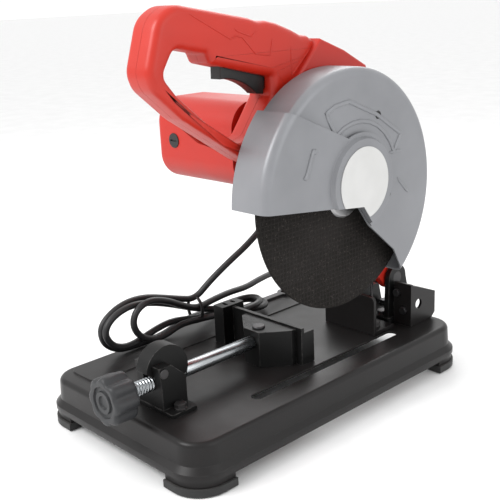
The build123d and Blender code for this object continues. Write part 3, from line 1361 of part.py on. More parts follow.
PLUG_Y = COIL_CENTRE[1] - COIL_MIDDLE
PLUG_Z = 13.0
PLUG_START = COIL_CENTRE[0] + 24.0
with BuildPart() as plug_body:
    with BuildSketch(YZ.offset(PLUG_START)):
        with Locations((PLUG_Y, PLUG_Z)):
            Circle(CORD_RADIUS + 1.2)
    with BuildSketch(YZ.offset(PLUG_START + 28.0)):
        with Locations((PLUG_Y, PLUG_Z)):
            Circle(CORD_RADIUS + 3.4)
    loft()
    with BuildSketch(YZ.offset(PLUG_START + 27.0)):
        with Locations((PLUG_Y, PLUG_Z)):
            Circle(9.0)
    with BuildSketch(YZ.offset(PLUG_START + 60.0)):
        with Locations((PLUG_Y, PLUG_Z)):
            Circle(12.8)
    loft()
plug_body.part.label = "plug_body"

with BuildPart() as plug_pins:
    with BuildSketch(YZ.offset(PLUG_START + 60.0)):
        with Locations((PLUG_Y - 6.0, PLUG_Z), (PLUG_Y + 6.0, PLUG_Z)):
            Circle(2.4)
    extrude(amount=19.0)
    fillet(plug_pins.faces().group_by(Axis.X)[-1].edges(), 1.2)
plug_pins.part.label = "plug_pins"

SPANNER_LENGTH = 62.0
with BuildPart() as wheel_spanner:
    with BuildSketch(Plane.XY.offset(BASE_TOP + PANEL_STEP)):
        with Locations((-98.0, 108.0)):
            SlotOverall(SPANNER_LENGTH, 9.0, rotation=90)
        with Locations((-98.0, 108.0 + SPANNER_LENGTH / 2 - 4.0)):
            Circle(10.0)
            RegularPolygon(6.2, 6, mode=Mode.SUBTRACT)
    extrude(amount=3.0)
wheel_spanner.part.label = "wheel_spanner"

finished = [
    base_plate, rubber_feet, fence, pivot_bracket, stop_plate, stop_plate_bolts, base_bolts,
    pivot_pin, return_spring, vise_holder, half_nut_pin, half_nut, vise_screw, vise_knob,
    jaw_body, jaw_set_screw, jaw_face_plate, jaw_plate_screws, gear_housing, bearing_plate,
    housing_screws, pivot_bushes, motor_housing, end_cap, stator, brush_caps, brushes,
    ball_bearings, armature_shaft, armature_core, commutator, fan, pinion,
    spindle_gear, spindle, inner_flange, wheel, outer_flange, clamp_bolt, guard_main,
    guard_screws, guard_cover, hub_label, cover_pivot, handle_left, handle_right,
    handle_screws, trigger, trigger_pin, switch_body, trigger_spring, cord_lead, cord_tail,
    cord_gland, cord_hank, cord_tie, cord_coil, plug_body, plug_pins, wheel_spanner,
]
for piece in finished:
    export_step(piece.part, "parts/" + piece.part.label + ".step")
print(len(finished), "nodes")
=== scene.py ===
# %% [markdown]
# # A small abrasive chop saw
# The saw stands on a pressed-steel tray. An arm swings on a pin at the back and carries the motor,
# the gearbox, the wheel in its guard and the red D-handle. A screw vise with a quick-release half nut
# holds the work against a fence. The engineering model comes in first as a fixed frame: every
# finish and every remade shell below takes its place from it, so nothing has to be fitted.

# %% Load the engineering model
import math

import bmesh
import bpy
from mathutils import Matrix, Vector


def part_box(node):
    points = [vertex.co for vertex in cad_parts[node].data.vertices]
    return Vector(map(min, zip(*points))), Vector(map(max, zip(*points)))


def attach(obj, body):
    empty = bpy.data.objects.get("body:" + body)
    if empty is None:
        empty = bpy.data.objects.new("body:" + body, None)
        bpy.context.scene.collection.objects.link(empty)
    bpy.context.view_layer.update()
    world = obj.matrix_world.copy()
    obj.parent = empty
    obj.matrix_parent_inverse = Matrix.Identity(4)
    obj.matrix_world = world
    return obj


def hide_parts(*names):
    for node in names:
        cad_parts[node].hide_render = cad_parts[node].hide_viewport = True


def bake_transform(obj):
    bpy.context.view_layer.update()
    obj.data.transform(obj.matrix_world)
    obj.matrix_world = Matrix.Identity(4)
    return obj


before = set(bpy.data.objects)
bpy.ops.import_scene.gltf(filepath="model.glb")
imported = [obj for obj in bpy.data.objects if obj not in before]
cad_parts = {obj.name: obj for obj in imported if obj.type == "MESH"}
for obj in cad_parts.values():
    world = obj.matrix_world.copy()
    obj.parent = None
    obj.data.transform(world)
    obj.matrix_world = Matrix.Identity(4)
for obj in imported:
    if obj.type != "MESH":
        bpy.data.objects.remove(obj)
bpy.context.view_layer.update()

# %% [markdown]
# ## The camera
# A product view is fixed by where the eye stands and by three angles: the turn about the vertical,
# the pitch down and a slight roll. The camera's axes are built as three unit vectors and go into
# one matrix, which is clearer than chasing Euler angles. It comes first, because the put-away
# part of the cord has to lie where this view doesn't see it.

# %% Camera
EYE = Vector((0.61707, -0.58362, 0.40616))
TURN = math.radians(47.2)
PITCH = math.radians(16.4)
ROLL = math.radians(-2.7)

ahead = Vector((-math.sin(TURN) * math.cos(PITCH), math.cos(TURN) * math.cos(PITCH), -math.sin(PITCH)))
level = Vector((math.cos(TURN), math.sin(TURN), 0.0))
above = level.cross(ahead)
side = level * math.cos(ROLL) + above * math.sin(ROLL)
top = above * math.cos(ROLL) - level * math.sin(ROLL)

lens = bpy.data.cameras.new("product_view")
lens.lens = 61.8
lens.sensor_width = 36.0
lens.clip_start = 0.02
camera = bpy.data.objects.new("product_view", lens)
camera.matrix_world = Matrix.Translation(EYE) @ Matrix((side, top, -ahead)).transposed().to_4x4()
bpy.context.scene.collection.objects.link(camera)
bpy.context.scene.camera = camera
print("camera looks along", [round(value, 3) for value in ahead])

# %% [markdown]
# ## The mains cord
# A saw like this has about two and a half metres of 7.2 mm rubber cord. It leaves the motor through
# a gland, drops behind the vise, and most of it is folded into a hank that lies on the tray with a
# wire tie round its middle, as it comes out of the box. The rest runs over the back edge to a small
# coil on the floor. The arm swings while the hank stays. The cord could be a curve with a round bevel,
# but here it is one fixed mesh tube. Its centreline is one smooth
# NURBS spline: its control points pull the line along, so the bends stay round.

# %% The route of the cord
CORD_RADIUS = 0.0036

LEAD = [
    (-0.045, 0.066, 0.240), (-0.046, 0.080, 0.222), (-0.050, 0.084, 0.194), (-0.059, 0.074, 0.165),
    (-0.067, 0.051, 0.141), (-0.077, 0.022, 0.120), (-0.084, 0.001, 0.103), (-0.090, -0.016, 0.086),
]
FRONT_LOOP_A = [
    (-0.094, -0.036, 0.091), (-0.097, -0.058, 0.098), (-0.0985, -0.078, 0.1034),
    (-0.0985, -0.099, 0.1047), (-0.0985, -0.118, 0.0999), (-0.0985, -0.133, 0.090),
    (-0.0985, -0.137, 0.079), (-0.0985, -0.132, 0.065), (-0.0985, -0.116, 0.055),
    (-0.0985, -0.097, 0.0535), (-0.0985, -0.079, 0.0535), (-0.0985, -0.059, 0.054),
    (-0.099, -0.041, 0.058), (-0.099, -0.026, 0.061), (-0.099, -0.014, 0.0625),
]
REAR_LOOP_A = [
    (-0.105, 0.015, 0.059), (-0.112, 0.045, 0.0575), (-0.106, 0.075, 0.0575), (-0.085, 0.086, 0.0575),
    (-0.068, 0.072, 0.058), (-0.066, 0.045, 0.062), (-0.076, 0.018, 0.068), (-0.086, 0.0, 0.0705),
    (-0.094, -0.014, 0.0735),
]
FRONT_LOOP_B = [
    (-0.091, -0.033, 0.082), (-0.090, -0.057, 0.0925), (-0.090, -0.080, 0.100), (-0.090, -0.102, 0.103),
    (-0.090, -0.121, 0.099), (-0.090, -0.134, 0.090), (-0.090, -0.137, 0.079), (-0.090, -0.129, 0.066),
    (-0.090, -0.116, 0.060), (-0.090, -0.101, 0.060), (-0.090, -0.086, 0.064), (-0.090, -0.069, 0.068),
    (-0.090, -0.051, 0.070), (-0.090, -0.033, 0.067), (-0.0905, -0.014, 0.0625),
]
REAR_LOOP_B = [
    (-0.092, 0.010, 0.063), (-0.097, 0.038, 0.064), (-0.093, 0.062, 0.066), (-0.080, 0.070, 0.067),
    (-0.064, 0.060, 0.068), (-0.058, 0.040, 0.068), (-0.064, 0.014, 0.066), (-0.075, -0.002, 0.066),
    (-0.0825, -0.014, 0.064),
]
FRONT_LOOP_C = [
    (-0.082, -0.032, 0.066), (-0.082, -0.048, 0.066), (-0.082, -0.064, 0.061), (-0.082, -0.080, 0.060),
    (-0.082, -0.096, 0.066), (-0.082, -0.106, 0.079), (-0.082, -0.106, 0.092), (-0.082, -0.097, 0.102),
    (-0.082, -0.081, 0.105), (-0.082, -0.062, 0.099), (-0.082, -0.042, 0.088), (-0.083, -0.028, 0.081),
    (-0.0845, -0.014, 0.0775),
]
TAIL = [
    (-0.086, 0.008, 0.080), (-0.088, 0.035, 0.081), (-0.090, 0.062, 0.079), (-0.097, 0.090, 0.080),
    (-0.107, 0.125, 0.078), (-0.110, 0.160, 0.070), (-0.104, 0.192, 0.059), (-0.092, 0.214, 0.039),
    (-0.082, 0.231, 0.018), (-0.078, 0.252, 0.007),
]
TO_COIL = LEAD + FRONT_LOOP_A + REAR_LOOP_A + FRONT_LOOP_B + REAR_LOOP_B + FRONT_LOOP_C + TAIL
print("hand-set cord points", len(TO_COIL))

# %% The coil at the end of the cord
COIL_CENTRE = Vector((-0.122, 0.2505, 0.0))
COIL_POINTS = 14                # control points in one turn

# The coil's radius and height above the floor at a few angles. Between them they change evenly.
COIL_STAGES = [
    (20, 0.0416, 0.0038), (305, 0.0416, 0.0038), (358, 0.0344, 0.0038), (600, 0.0344, 0.0038),
    (658, 0.0352, 0.0112), (720, 0.0366, 0.0112), (800, 0.0380, 0.0112), (960, 0.0380, 0.0118),
    (990, 0.0380, 0.0130),
]


def between(stages, angle):
    """Radius and height of the coil at an angle in degrees."""
    for (start, radius, height), (end, next_radius, next_height) in zip(stages, stages[1:]):
        if angle <= end:
            share = max(0.0, (angle - start) / (end - start))
            return radius + share * (next_radius - radius), height + share * (next_height - height)
    return stages[-1][1], stages[-1][2]


def coil_route():
    """Control points of the coil, spread so that the spline itself has the stated radius."""
    swell = 1 / math.cos(math.pi / COIL_POINTS) ** 2
    first, last = COIL_STAGES[0][0], COIL_STAGES[-1][0]
    steps = round((last - first) / 360 * COIL_POINTS)
    route = []
    for step in range(steps + 1):
        degrees = first + (last - first) * step / steps
        radius, height = between(COIL_STAGES, degrees)
        angle = math.radians(degrees)
        flat = Vector((math.cos(angle), math.sin(angle), 0.0)) * radius * swell
        route.append(tuple(COIL_CENTRE + flat + Vector((0, 0, height))))
    return route


BEFORE_PLUG = (-0.110, 0.2125, 0.013)
PLUG_ENTRY = (-0.098, 0.2125, 0.013)
route_points = TO_COIL + coil_route() + [BEFORE_PLUG, PLUG_ENTRY]
print("cord control points", len(route_points))

# %% Sweep a round section along a smooth spline


def smooth_path(name, points, closed=False, fineness=6):
    """The points of a NURBS spline that has these control points."""
    line = bpy.data.curves.new(name, "CURVE")
    line.dimensions = "3D"
    line.resolution_u = fineness
    spline = line.splines.new("NURBS")
    spline.points.add(len(points) - 1)
    for point, place in zip(spline.points, points):
        point.co = (*place, 1.0)
    spline.order_u = 3
    spline.use_cyclic_u = closed
    spline.use_endpoint_u = not closed
    holder = bpy.data.objects.new(name, line)
    mesh = bpy.data.meshes.new_from_object(holder)
    path = [vertex.co.copy() for vertex in mesh.vertices]
    bpy.data.objects.remove(holder)
    bpy.data.curves.remove(line)
    bpy.data.meshes.remove(mesh)
    return path


def new_piece(name, mesh):
    """An object in the scene that holds this mesh."""
    mesh.name = name
    piece = bpy.data.objects.new(name, mesh)
    bpy.context.scene.collection.objects.link(piece)
    return piece


def tube_along(name, path, radii, sides=14, closed=False):
    """A round tube along a path: radii is one radius, or one for each point."""
    if not isinstance(radii, list):
        radii = [radii] * len(path)
    shape = bmesh.new()
    rings = []
    across = None
    for index, place in enumerate(path):
        before = path[index - 1] if closed or index else path[0]
        after = path[(index + 1) % len(path)] if closed or index + 1 < len(path) else path[-1]
        along = (after - before).normalized()
        if across is None:
            across = along.orthogonal().normalized()
        across = (across - along * across.dot(along)).normalized()
        upward = along.cross(across)
        rings.append([
            shape.verts.new(place + (across * math.cos(turn) + upward * math.sin(turn)) * radii[index])
            for turn in (2 * math.pi * step / sides for step in range(sides))
        ])
    pairs = list(zip(rings, rings[1:])) + ([(rings[-1], rings[0])] if closed else [])
    for ring, following in pairs:
        for step in range(sides):
            beside = (step + 1) % sides
            shape.faces.new((ring[step], ring[beside], following[beside], following[step]))
    if not closed:
        shape.faces.new(list(reversed(rings[0])))
        shape.faces.new(rings[-1])
    bmesh.ops.recalc_face_normals(shape, faces=shape.faces)
    for face in shape.faces:
        face.smooth = len(face.verts) == 4
    mesh = bpy.data.meshes.new(name)
    shape.to_mesh(mesh)
    shape.free()
    return new_piece(name, mesh)


# %% The cord itself
cord_path = smooth_path("cord_line", route_points)
mains_cord = tube_along("mains_cord", cord_path, CORD_RADIUS)
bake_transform(mains_cord)
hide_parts("cord_lead", "cord_hank", "cord_tail", "cord_coil")

# %% [markdown]
# ## Finishes
# Each finish is a small node tree. What several of them share is made once as a node group: the fine
# texture of a mould or of powder paint, paint worn off along edges, dust that settles on faces that
# look up, and the fine lines that a lathe or a file leaves. The groups hand out only masks and
# heights, and each material decides what to do with them.

# %% Helpers for node trees


def add_node(tree, kind, settings=None, **values):
    """A node with its input values and its settings filled in."""
    made = tree.nodes.new(kind)
    for name, value in (settings or {}).items():
        setattr(made, name, value)
    for name, value in values.items():
        made.inputs[name.replace("_", " ")].default_value = value
    return made


def effect_group(name, inputs, outputs):
    """An empty shader group with float inputs and outputs."""
    tree = bpy.data.node_groups.new(name, "ShaderNodeTree")
    for label, value in inputs.items():
        socket = tree.interface.new_socket(label, in_out="INPUT", socket_type="NodeSocketFloat")
        socket.default_value = value
    for label in outputs:
        tree.interface.new_socket(label, in_out="OUTPUT", socket_type="NodeSocketFloat")
    return tree, tree.nodes.new("NodeGroupInput"), tree.nodes.new("NodeGroupOutput")


def maths(tree, operation, first, second=None):
    """A Math node: each operand is a socket or a number."""
    made = tree.nodes.new("ShaderNodeMath")
    made.operation = operation
    for socket, operand in zip(made.inputs, (first, second)):
        if isinstance(operand, (int, float)):
            socket.default_value = operand
        elif operand is not None:
            tree.links.new(operand, socket)
    return made.outputs[0]


def spread(tree, value, low, high, to_low=0.0, to_high=1.0):
    """Map low…high of a value to another range, clamped at both ends."""
    made = add_node(tree, "ShaderNodeMapRange", From_Min=low, From_Max=high, To_Min=to_low, To_Max=to_high)
    tree.links.new(value, made.inputs["Value"])
    return made.outputs["Result"]


# %% Group: fine moulded or sprayed texture
tree, inside, outside = effect_group("fine_texture", {"Scale": 900.0}, ["Height", "Mottle"])
place = tree.nodes.new("ShaderNodeTexCoord")
fine = add_node(tree, "ShaderNodeTexNoise", Detail=3.0, Roughness=0.6)
broad = add_node(tree, "ShaderNodeTexNoise", Detail=3.0, Scale=14.0, Roughness=0.55)
tree.links.new(place.outputs["Object"], fine.inputs["Vector"])
tree.links.new(place.outputs["Object"], broad.inputs["Vector"])
tree.links.new(inside.outputs["Scale"], fine.inputs["Scale"])
tree.links.new(fine.outputs["Fac"], outside.inputs["Height"])
tree.links.new(spread(tree, broad.outputs["Fac"], 0.35, 0.65), outside.inputs["Mottle"])
fine_texture = tree
print("group", tree.name)

# %% Group: paint worn off along edges
tree, inside, outside = effect_group("worn_edges", {"Width": 0.0012, "Amount": 0.5}, ["Mask"])
rounded_normal = add_node(tree, "ShaderNodeBevel", {"samples": 4})
surface = tree.nodes.new("ShaderNodeNewGeometry")
alike = add_node(tree, "ShaderNodeVectorMath", {"operation": "DOT_PRODUCT"})
chips = add_node(tree, "ShaderNodeTexNoise", Scale=120.0, Detail=5.0, Roughness=0.7)
place = tree.nodes.new("ShaderNodeTexCoord")
tree.links.new(inside.outputs["Width"], rounded_normal.inputs["Radius"])
tree.links.new(rounded_normal.outputs["Normal"], alike.inputs[0])
tree.links.new(surface.outputs["Normal"], alike.inputs[1])
tree.links.new(place.outputs["Object"], chips.inputs["Vector"])
edge = spread(tree, maths(tree, "SUBTRACT", 1.0, alike.outputs["Value"]), 0.02, 0.22)
broken = spread(tree, chips.outputs["Fac"], 0.42, 0.62)
tree.links.new(maths(tree, "MULTIPLY", maths(tree, "MULTIPLY", edge, broken), inside.outputs["Amount"]),
               outside.inputs["Mask"])
worn_edges = tree
print("group", tree.name)

# %% Group: settled dust
tree, inside, outside = effect_group("settled_dust", {"Amount": 0.4}, ["Mask"])
surface = tree.nodes.new("ShaderNodeNewGeometry")
facing = tree.nodes.new("ShaderNodeSeparateXYZ")
drift = add_node(tree, "ShaderNodeTexNoise", Scale=28.0, Detail=6.0, Roughness=0.65)
place = tree.nodes.new("ShaderNodeTexCoord")
tree.links.new(surface.outputs["Normal"], facing.inputs[0])
tree.links.new(place.outputs["Object"], drift.inputs["Vector"])
lying = spread(tree, facing.outputs["Z"], 0.55, 1.0)
patchy = spread(tree, drift.outputs["Fac"], 0.38, 0.72)
tree.links.new(maths(tree, "MULTIPLY", maths(tree, "MULTIPLY", lying, patchy), inside.outputs["Amount"]),
               outside.inputs["Mask"])
settled_dust = tree
print("group", tree.name)

# %% Group: fine lines of machining
tree, inside, outside = effect_group("machined_lines", {"X": 40.0, "Y": 40.0, "Z": 900.0}, ["Height", "Tone"])
place = tree.nodes.new("ShaderNodeTexCoord")
stretch = add_node(tree, "ShaderNodeVectorMath", {"operation": "MULTIPLY"})
gather = tree.nodes.new("ShaderNodeCombineXYZ")
lines = add_node(tree, "ShaderNodeTexNoise", Scale=1.0, Detail=3.0, Roughness=0.6)
for axis in "XYZ":
    tree.links.new(inside.outputs[axis], gather.inputs[axis])
tree.links.new(place.outputs["Object"], stretch.inputs[0])
tree.links.new(gather.outputs[0], stretch.inputs[1])
tree.links.new(stretch.outputs[0], lines.inputs["Vector"])
tree.links.new(lines.outputs["Fac"], outside.inputs["Height"])
tree.links.new(spread(tree, lines.outputs["Fac"], 0.3, 0.7), outside.inputs["Tone"])
machined_lines = tree
print("group", tree.name)

# %% Start and finish a material


def start_finish(name, **constants):
    """A material with its Principled shader, whose even values are set on the shader itself."""
    material = bpy.data.materials.new(name)
    material.use_nodes = True
    shader = material.node_tree.nodes["Principled BSDF"]
    for label, value in constants.items():
        shader.inputs[label.replace("_", " ")].default_value = value
    return material, material.node_tree, shader


def use(tree, group, **values):
    """One of the effect groups, placed with this material's own values."""
    made = tree.nodes.new("ShaderNodeGroup")
    made.node_tree = group
    for label, value in values.items():
        made.inputs[label].default_value = value
    return made


def blend_colours(tree, mask, under, over):
    """Two colours mixed by a mask. Each colour is a socket or four numbers."""
    mix = add_node(tree, "ShaderNodeMix", {"data_type": "RGBA"})
    tree.links.new(mask, mix.inputs["Factor"])
    for socket, colour in ((mix.inputs[6], under), (mix.inputs[7], over)):
        if isinstance(colour, tuple):
            socket.default_value = (*colour[:3], 1.0)
        else:
            tree.links.new(colour, socket)
    return mix.outputs[2]


def raise_surface(tree, shader, height, strength, distance, edge_radius=0.0005):
    """Bump from a height, over a normal that softens the sharp edges a little."""
    soft = add_node(tree, "ShaderNodeBevel", {"samples": 4}, Radius=edge_radius)
    bump = add_node(tree, "ShaderNodeBump", Strength=strength, Distance=distance)
    tree.links.new(height, bump.inputs["Height"])
    tree.links.new(soft.outputs["Normal"], bump.inputs["Normal"])
    tree.links.new(bump.outputs["Normal"], shader.inputs["Normal"])


# %% [markdown]
# ### Paint
# The tray, the vise and the guard are painted steel. Powder paint has a faint orange-peel texture and
# an uneven gloss, it wears to bare metal on corners, and grinding dust greys what faces up. One
# function makes all three paints, so they age in the same way and differ only in their values.

# %% Painted steel


def painted_steel(name, colour, gloss, metal=0.0, peel=0.12, chips=0.5, dust=0.3, shine=0.5,
                  chip_colour=(0.32, 0.31, 0.30)):
    """Powder paint over steel: gloss is the pair of roughness values that the mottle moves between."""
    material, tree, shader = start_finish(name, Specular_IOR_Level=shine, IOR=1.5)
    texture = use(tree, fine_texture, Scale=650.0)
    worn = use(tree, worn_edges, Width=0.0011, Amount=chips)
    dusty = use(tree, settled_dust, Amount=dust)
    shade = blend_colours(tree, texture.outputs["Mottle"], tuple(0.86 * part for part in colour), colour)
    shade = blend_colours(tree, dusty.outputs["Mask"], shade, (0.20, 0.19, 0.18))
    shade = blend_colours(tree, worn.outputs["Mask"], shade, chip_colour)
    tree.links.new(shade, shader.inputs["Base Color"])
    rough = spread(tree, texture.outputs["Mottle"], 0.0, 1.0, *gloss)
    rough = maths(tree, "ADD", rough, maths(tree, "MULTIPLY", dusty.outputs["Mask"], 0.35))
    tree.links.new(rough, shader.inputs["Roughness"])
    tree.links.new(maths(tree, "MAXIMUM", worn.outputs["Mask"], metal), shader.inputs["Metallic"])
    raise_surface(tree, shader, texture.outputs["Height"], peel, 0.0004)
    return material


base_paint = painted_steel("base_paint", (0.009, 0.008, 0.008), (0.30, 0.42), dust=0.012, chips=0.2,
                           shine=0.28)
vise_paint = painted_steel("vise_paint", (0.006, 0.006, 0.006), (0.26, 0.42), dust=0.012, chips=0.5,
                           shine=0.22)
guard_paint = painted_steel("guard_paint", (0.25, 0.255, 0.27), (0.36, 0.46), metal=0.30, peel=0.07,
                            chips=0.12, dust=0.0, chip_colour=(0.55, 0.55, 0.55))
print("paints", base_paint.name, vise_paint.name, guard_paint.name)

# %% [markdown]
# ### Moulded plastic and rubber
# The handle, the motor housing and the small plastic parts come from a mould with a fine spark-eroded
# grain. Rubber is the same idea with more grain and less gloss. Rubbed corners turn a little paler.

# %% Plastic


def moulded_plastic(name, colour, gloss, grain=0.25, scale=1100.0, rubbed=0.35, dust=0.1, sheen=0.0):
    """Plastic from a grained mould. rubbed says how pale the touched corners are."""
    material, tree, shader = start_finish(name, IOR=1.47, Sheen_Weight=sheen, Sheen_Roughness=0.5)
    texture = use(tree, fine_texture, Scale=scale)
    worn = use(tree, worn_edges, Width=0.0016, Amount=rubbed)
    dusty = use(tree, settled_dust, Amount=dust)
    pale = tuple(min(1.0, part * 1.25 + 0.02) for part in colour)
    shade = blend_colours(tree, texture.outputs["Mottle"], tuple(0.9 * part for part in colour), colour)
    shade = blend_colours(tree, worn.outputs["Mask"], shade, pale)
    shade = blend_colours(tree, dusty.outputs["Mask"], shade, (0.30, 0.26, 0.24))
    tree.links.new(shade, shader.inputs["Base Color"])
    tree.links.new(spread(tree, texture.outputs["Mottle"], 0.0, 1.0, *gloss), shader.inputs["Roughness"])
    raise_surface(tree, shader, texture.outputs["Height"], grain, 0.0003)
    return material


red_housing = moulded_plastic("red_housing", (0.46, 0.016, 0.007), (0.38, 0.48), dust=0.02)
red_handle = moulded_plastic("red_handle", (0.50, 0.018, 0.006), (0.36, 0.46), dust=0.01)
knob_plastic = moulded_plastic("knob_plastic", (0.022, 0.023, 0.025), (0.40, 0.52), rubbed=0.5,
                               dust=0.03)
trigger_plastic = moulded_plastic("trigger_plastic", (0.012, 0.012, 0.012), (0.30, 0.40))
fan_plastic = moulded_plastic("fan_plastic", (0.02, 0.02, 0.02), (0.5, 0.6))
foot_rubber = moulded_plastic("foot_rubber", (0.016, 0.016, 0.016), (0.62, 0.78), grain=0.5, scale=700.0,
                              sheen=0.1)
cord_rubber = moulded_plastic("cord_rubber", (0.014, 0.014, 0.015), (0.34, 0.48), grain=0.12, rubbed=0.0,
                              dust=0.05)
label_paper = moulded_plastic("label_paper", (0.62, 0.62, 0.61), (0.30, 0.38), grain=0.03, rubbed=0.1,
                              dust=0.02)
print("plastics", red_handle.name, red_housing.name, knob_plastic.name)

# %% [markdown]
# ### Bare metals
# Turned, drawn and ground metals differ in colour and in the direction of their lines. The lines come
# from a noise that is stretched along one axis, which costs nothing and needs no unwrapping.

# %% Metals


def bare_metal(name, colour, gloss, lines=(40.0, 40.0, 900.0), depth=0.15, dirt=(0.10, 0.085, 0.07),
               dirty=0.25):
    """Metal with machining lines across the stretched axes of lines, and a little dirt in patches."""
    material, tree, shader = start_finish(name, Metallic=1.0)
    machined = use(tree, machined_lines, X=lines[0], Y=lines[1], Z=lines[2])
    texture = use(tree, fine_texture, Scale=400.0)
    shade = blend_colours(tree, machined.outputs["Tone"], tuple(0.84 * part for part in colour), colour)
    grime = maths(tree, "MULTIPLY", texture.outputs["Mottle"], dirty)
    shade = blend_colours(tree, grime, shade, dirt)
    tree.links.new(shade, shader.inputs["Base Color"])
    rough = spread(tree, machined.outputs["Tone"], 0.0, 1.0, *gloss)
    tree.links.new(maths(tree, "ADD", rough, maths(tree, "MULTIPLY", grime, 0.3)), shader.inputs["Roughness"])
    raise_surface(tree, shader, machined.outputs["Height"], depth, 0.0002, edge_radius=0.0003)
    return material


bright_chrome = bare_metal("bright_chrome", (0.52, 0.55, 0.57), (0.20, 0.30), (300.0, 30.0, 300.0), 0.05,
                           dirty=0.12)
dark_bolt = bare_metal("dark_bolt", (0.09, 0.09, 0.095), (0.32, 0.48))
spring_steel = bare_metal("spring_steel", (0.22, 0.22, 0.23), (0.25, 0.35))
flange_steel = bare_metal("flange_steel", (0.52, 0.52, 0.53), (0.28, 0.40), (40.0, 700.0, 700.0))
bearing_steel = bare_metal("bearing_steel", (0.68, 0.68, 0.69), (0.18, 0.28))
shaft_steel = bare_metal("shaft_steel", (0.56, 0.56, 0.57), (0.22, 0.34), (800.0, 40.0, 40.0))
brass = bare_metal("brass", (0.72, 0.50, 0.20), (0.20, 0.32), (60.0, 60.0, 900.0))
copper = bare_metal("copper", (0.80, 0.36, 0.20), (0.22, 0.34), (60.0, 700.0, 700.0))
laminated_steel = bare_metal("laminated_steel", (0.24, 0.24, 0.25), (0.35, 0.5), (2000.0, 20.0, 20.0), 0.5)
carbon = bare_metal("carbon", (0.03, 0.03, 0.032), (0.5, 0.65))
print("metals", bright_chrome.name, dark_bolt.name, flange_steel.name)

# %% [markdown]
# ### The cutting wheel
# An abrasive wheel is grains of brown-black corundum in resin, with a glass net just under the
# surface. Small Voronoi cells make the grains, two crossed waves make the net, and a slow
# noise makes the uneven bake of the resin. It scatters light with hardly any gloss.

# %% Abrasive wheel
abrasive, tree, shader = start_finish("abrasive", Specular_IOR_Level=0.12)
place = tree.nodes.new("ShaderNodeTexCoord")
grains = add_node(tree, "ShaderNodeTexVoronoi", Scale=900.0, Randomness=1.0)
bake = use(tree, fine_texture, Scale=260.0)
weave_y = add_node(tree, "ShaderNodeTexWave", {"bands_direction": "Y"}, Scale=70.0, Distortion=0.6)
weave_z = add_node(tree, "ShaderNodeTexWave", {"bands_direction": "Z"}, Scale=70.0, Distortion=0.6)
for texture in (grains, weave_y, weave_z):
    tree.links.new(place.outputs["Object"], texture.inputs["Vector"])
sparkle = spread(tree, grains.outputs["Color"], 0.80, 1.0)
threads = maths(tree, "MAXIMUM", weave_y.outputs["Fac"], weave_z.outputs["Fac"])
net = spread(tree, threads, 0.80, 1.0, 0.0, 0.35)
shade = blend_colours(tree, bake.outputs["Mottle"], (0.010, 0.009, 0.008), (0.019, 0.017, 0.016))
shade = blend_colours(tree, net, shade, (0.036, 0.032, 0.030))
shade = blend_colours(tree, sparkle, shade, (0.062, 0.052, 0.048))
tree.links.new(shade, shader.inputs["Base Color"])
tree.links.new(spread(tree, bake.outputs["Height"], 0.3, 0.7, 0.72, 0.92), shader.inputs["Roughness"])
raise_surface(tree, shader, grains.outputs["Distance"], 0.8, 0.0006)
print("wheel", abrasive.name)

# %% [markdown]
# ## Dress the engineering parts
# Most parts of the model already have the right shape, so they stay and get their finish. Their
# meshes may not change, but modifiers sit on top: the flat facets are joined, sharp edges get the
# third of a millimetre that paint and tumbling give them, and the shading turns smooth.

# %% Which finish goes on which part
FINISHES = {
    base_paint: "base_plate fence stop_plate",
    foot_rubber: "rubber_feet",
    vise_paint: "pivot_bracket vise_holder half_nut jaw_body jaw_face_plate",
    dark_bolt: "stop_plate_bolts base_bolts pivot_pin half_nut_pin jaw_set_screw jaw_plate_screws "
               "housing_screws handle_screws guard_screws clamp_bolt cover_pivot trigger_pin wheel_spanner",
    spring_steel: "return_spring trigger_spring",
    bright_chrome: "vise_screw",
    knob_plastic: "vise_knob",
    red_housing: "gear_housing motor_housing end_cap bearing_plate",
    red_handle: "handle_left handle_right",
    brass: "pivot_bushes plug_pins",
    laminated_steel: "stator armature_core",
    trigger_plastic: "brush_caps trigger switch_body",
    bearing_steel: "ball_bearings",
    shaft_steel: "armature_shaft pinion spindle_gear spindle inner_flange",
    flange_steel: "outer_flange",
    copper: "commutator",
    fan_plastic: "fan",
    abrasive: "wheel",
    guard_paint: "guard_main guard_cover",
    label_paper: "hub_label",
    cord_rubber: "cord_gland cord_tie plug_body cord_hank cord_lead cord_tail cord_coil",
    carbon: "brushes",
}
for finish, names in FINISHES.items():
    for name in names.split():
        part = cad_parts[name]
        part.data.materials.clear()
        part.data.materials.append(finish)
mains_cord.data.materials.append(cord_rubber)
undressed = [name for name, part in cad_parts.items() if part.active_material is None]
print("parts without a finish", undressed)

# %% Soften the edges of every engineering part
FACET = math.radians(28)


def soften(part, width=0.00035, segments=2):
    """Join the facets, merge flat faces, round the sharp edges and shade smoothly."""
    part.data.shade_smooth()
    for name in ("custom_normal", "sharp_edge", "sharp_face"):
        if name in part.data.attributes:
            part.data.attributes.remove(part.data.attributes[name])
    joined = part.modifiers.new("join_facets", "WELD")
    joined.merge_threshold = 0.000002
    flat = part.modifiers.new("merge_flat_faces", "DECIMATE")
    flat.decimate_type = "DISSOLVE"
    flat.angle_limit = math.radians(0.4)
    edge = part.modifiers.new("round_edges", "BEVEL")
    edge.width = width
    edge.segments = segments
    edge.limit_method = "ANGLE"
    edge.angle_limit = FACET
    edge.harden_normals = True


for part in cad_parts.values():
    soften(part)
print("softened", len(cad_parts), "parts")

# %% [markdown]
# ## The D-handle
# The handle is two moulded shells that meet on a plane through the middle. Its side view is a closed
# outline with a hole for the hand, and every outer edge has a generous round. A flat curve with a
# bevel makes exactly that: the curve is the side view, the extrusion is the width and the bevel
# is the round. The result is turned into a mesh and cut along the joint, with a hair's gap between
# the halves. It runs a little way into the gear housing, as the tongue of the real one does.

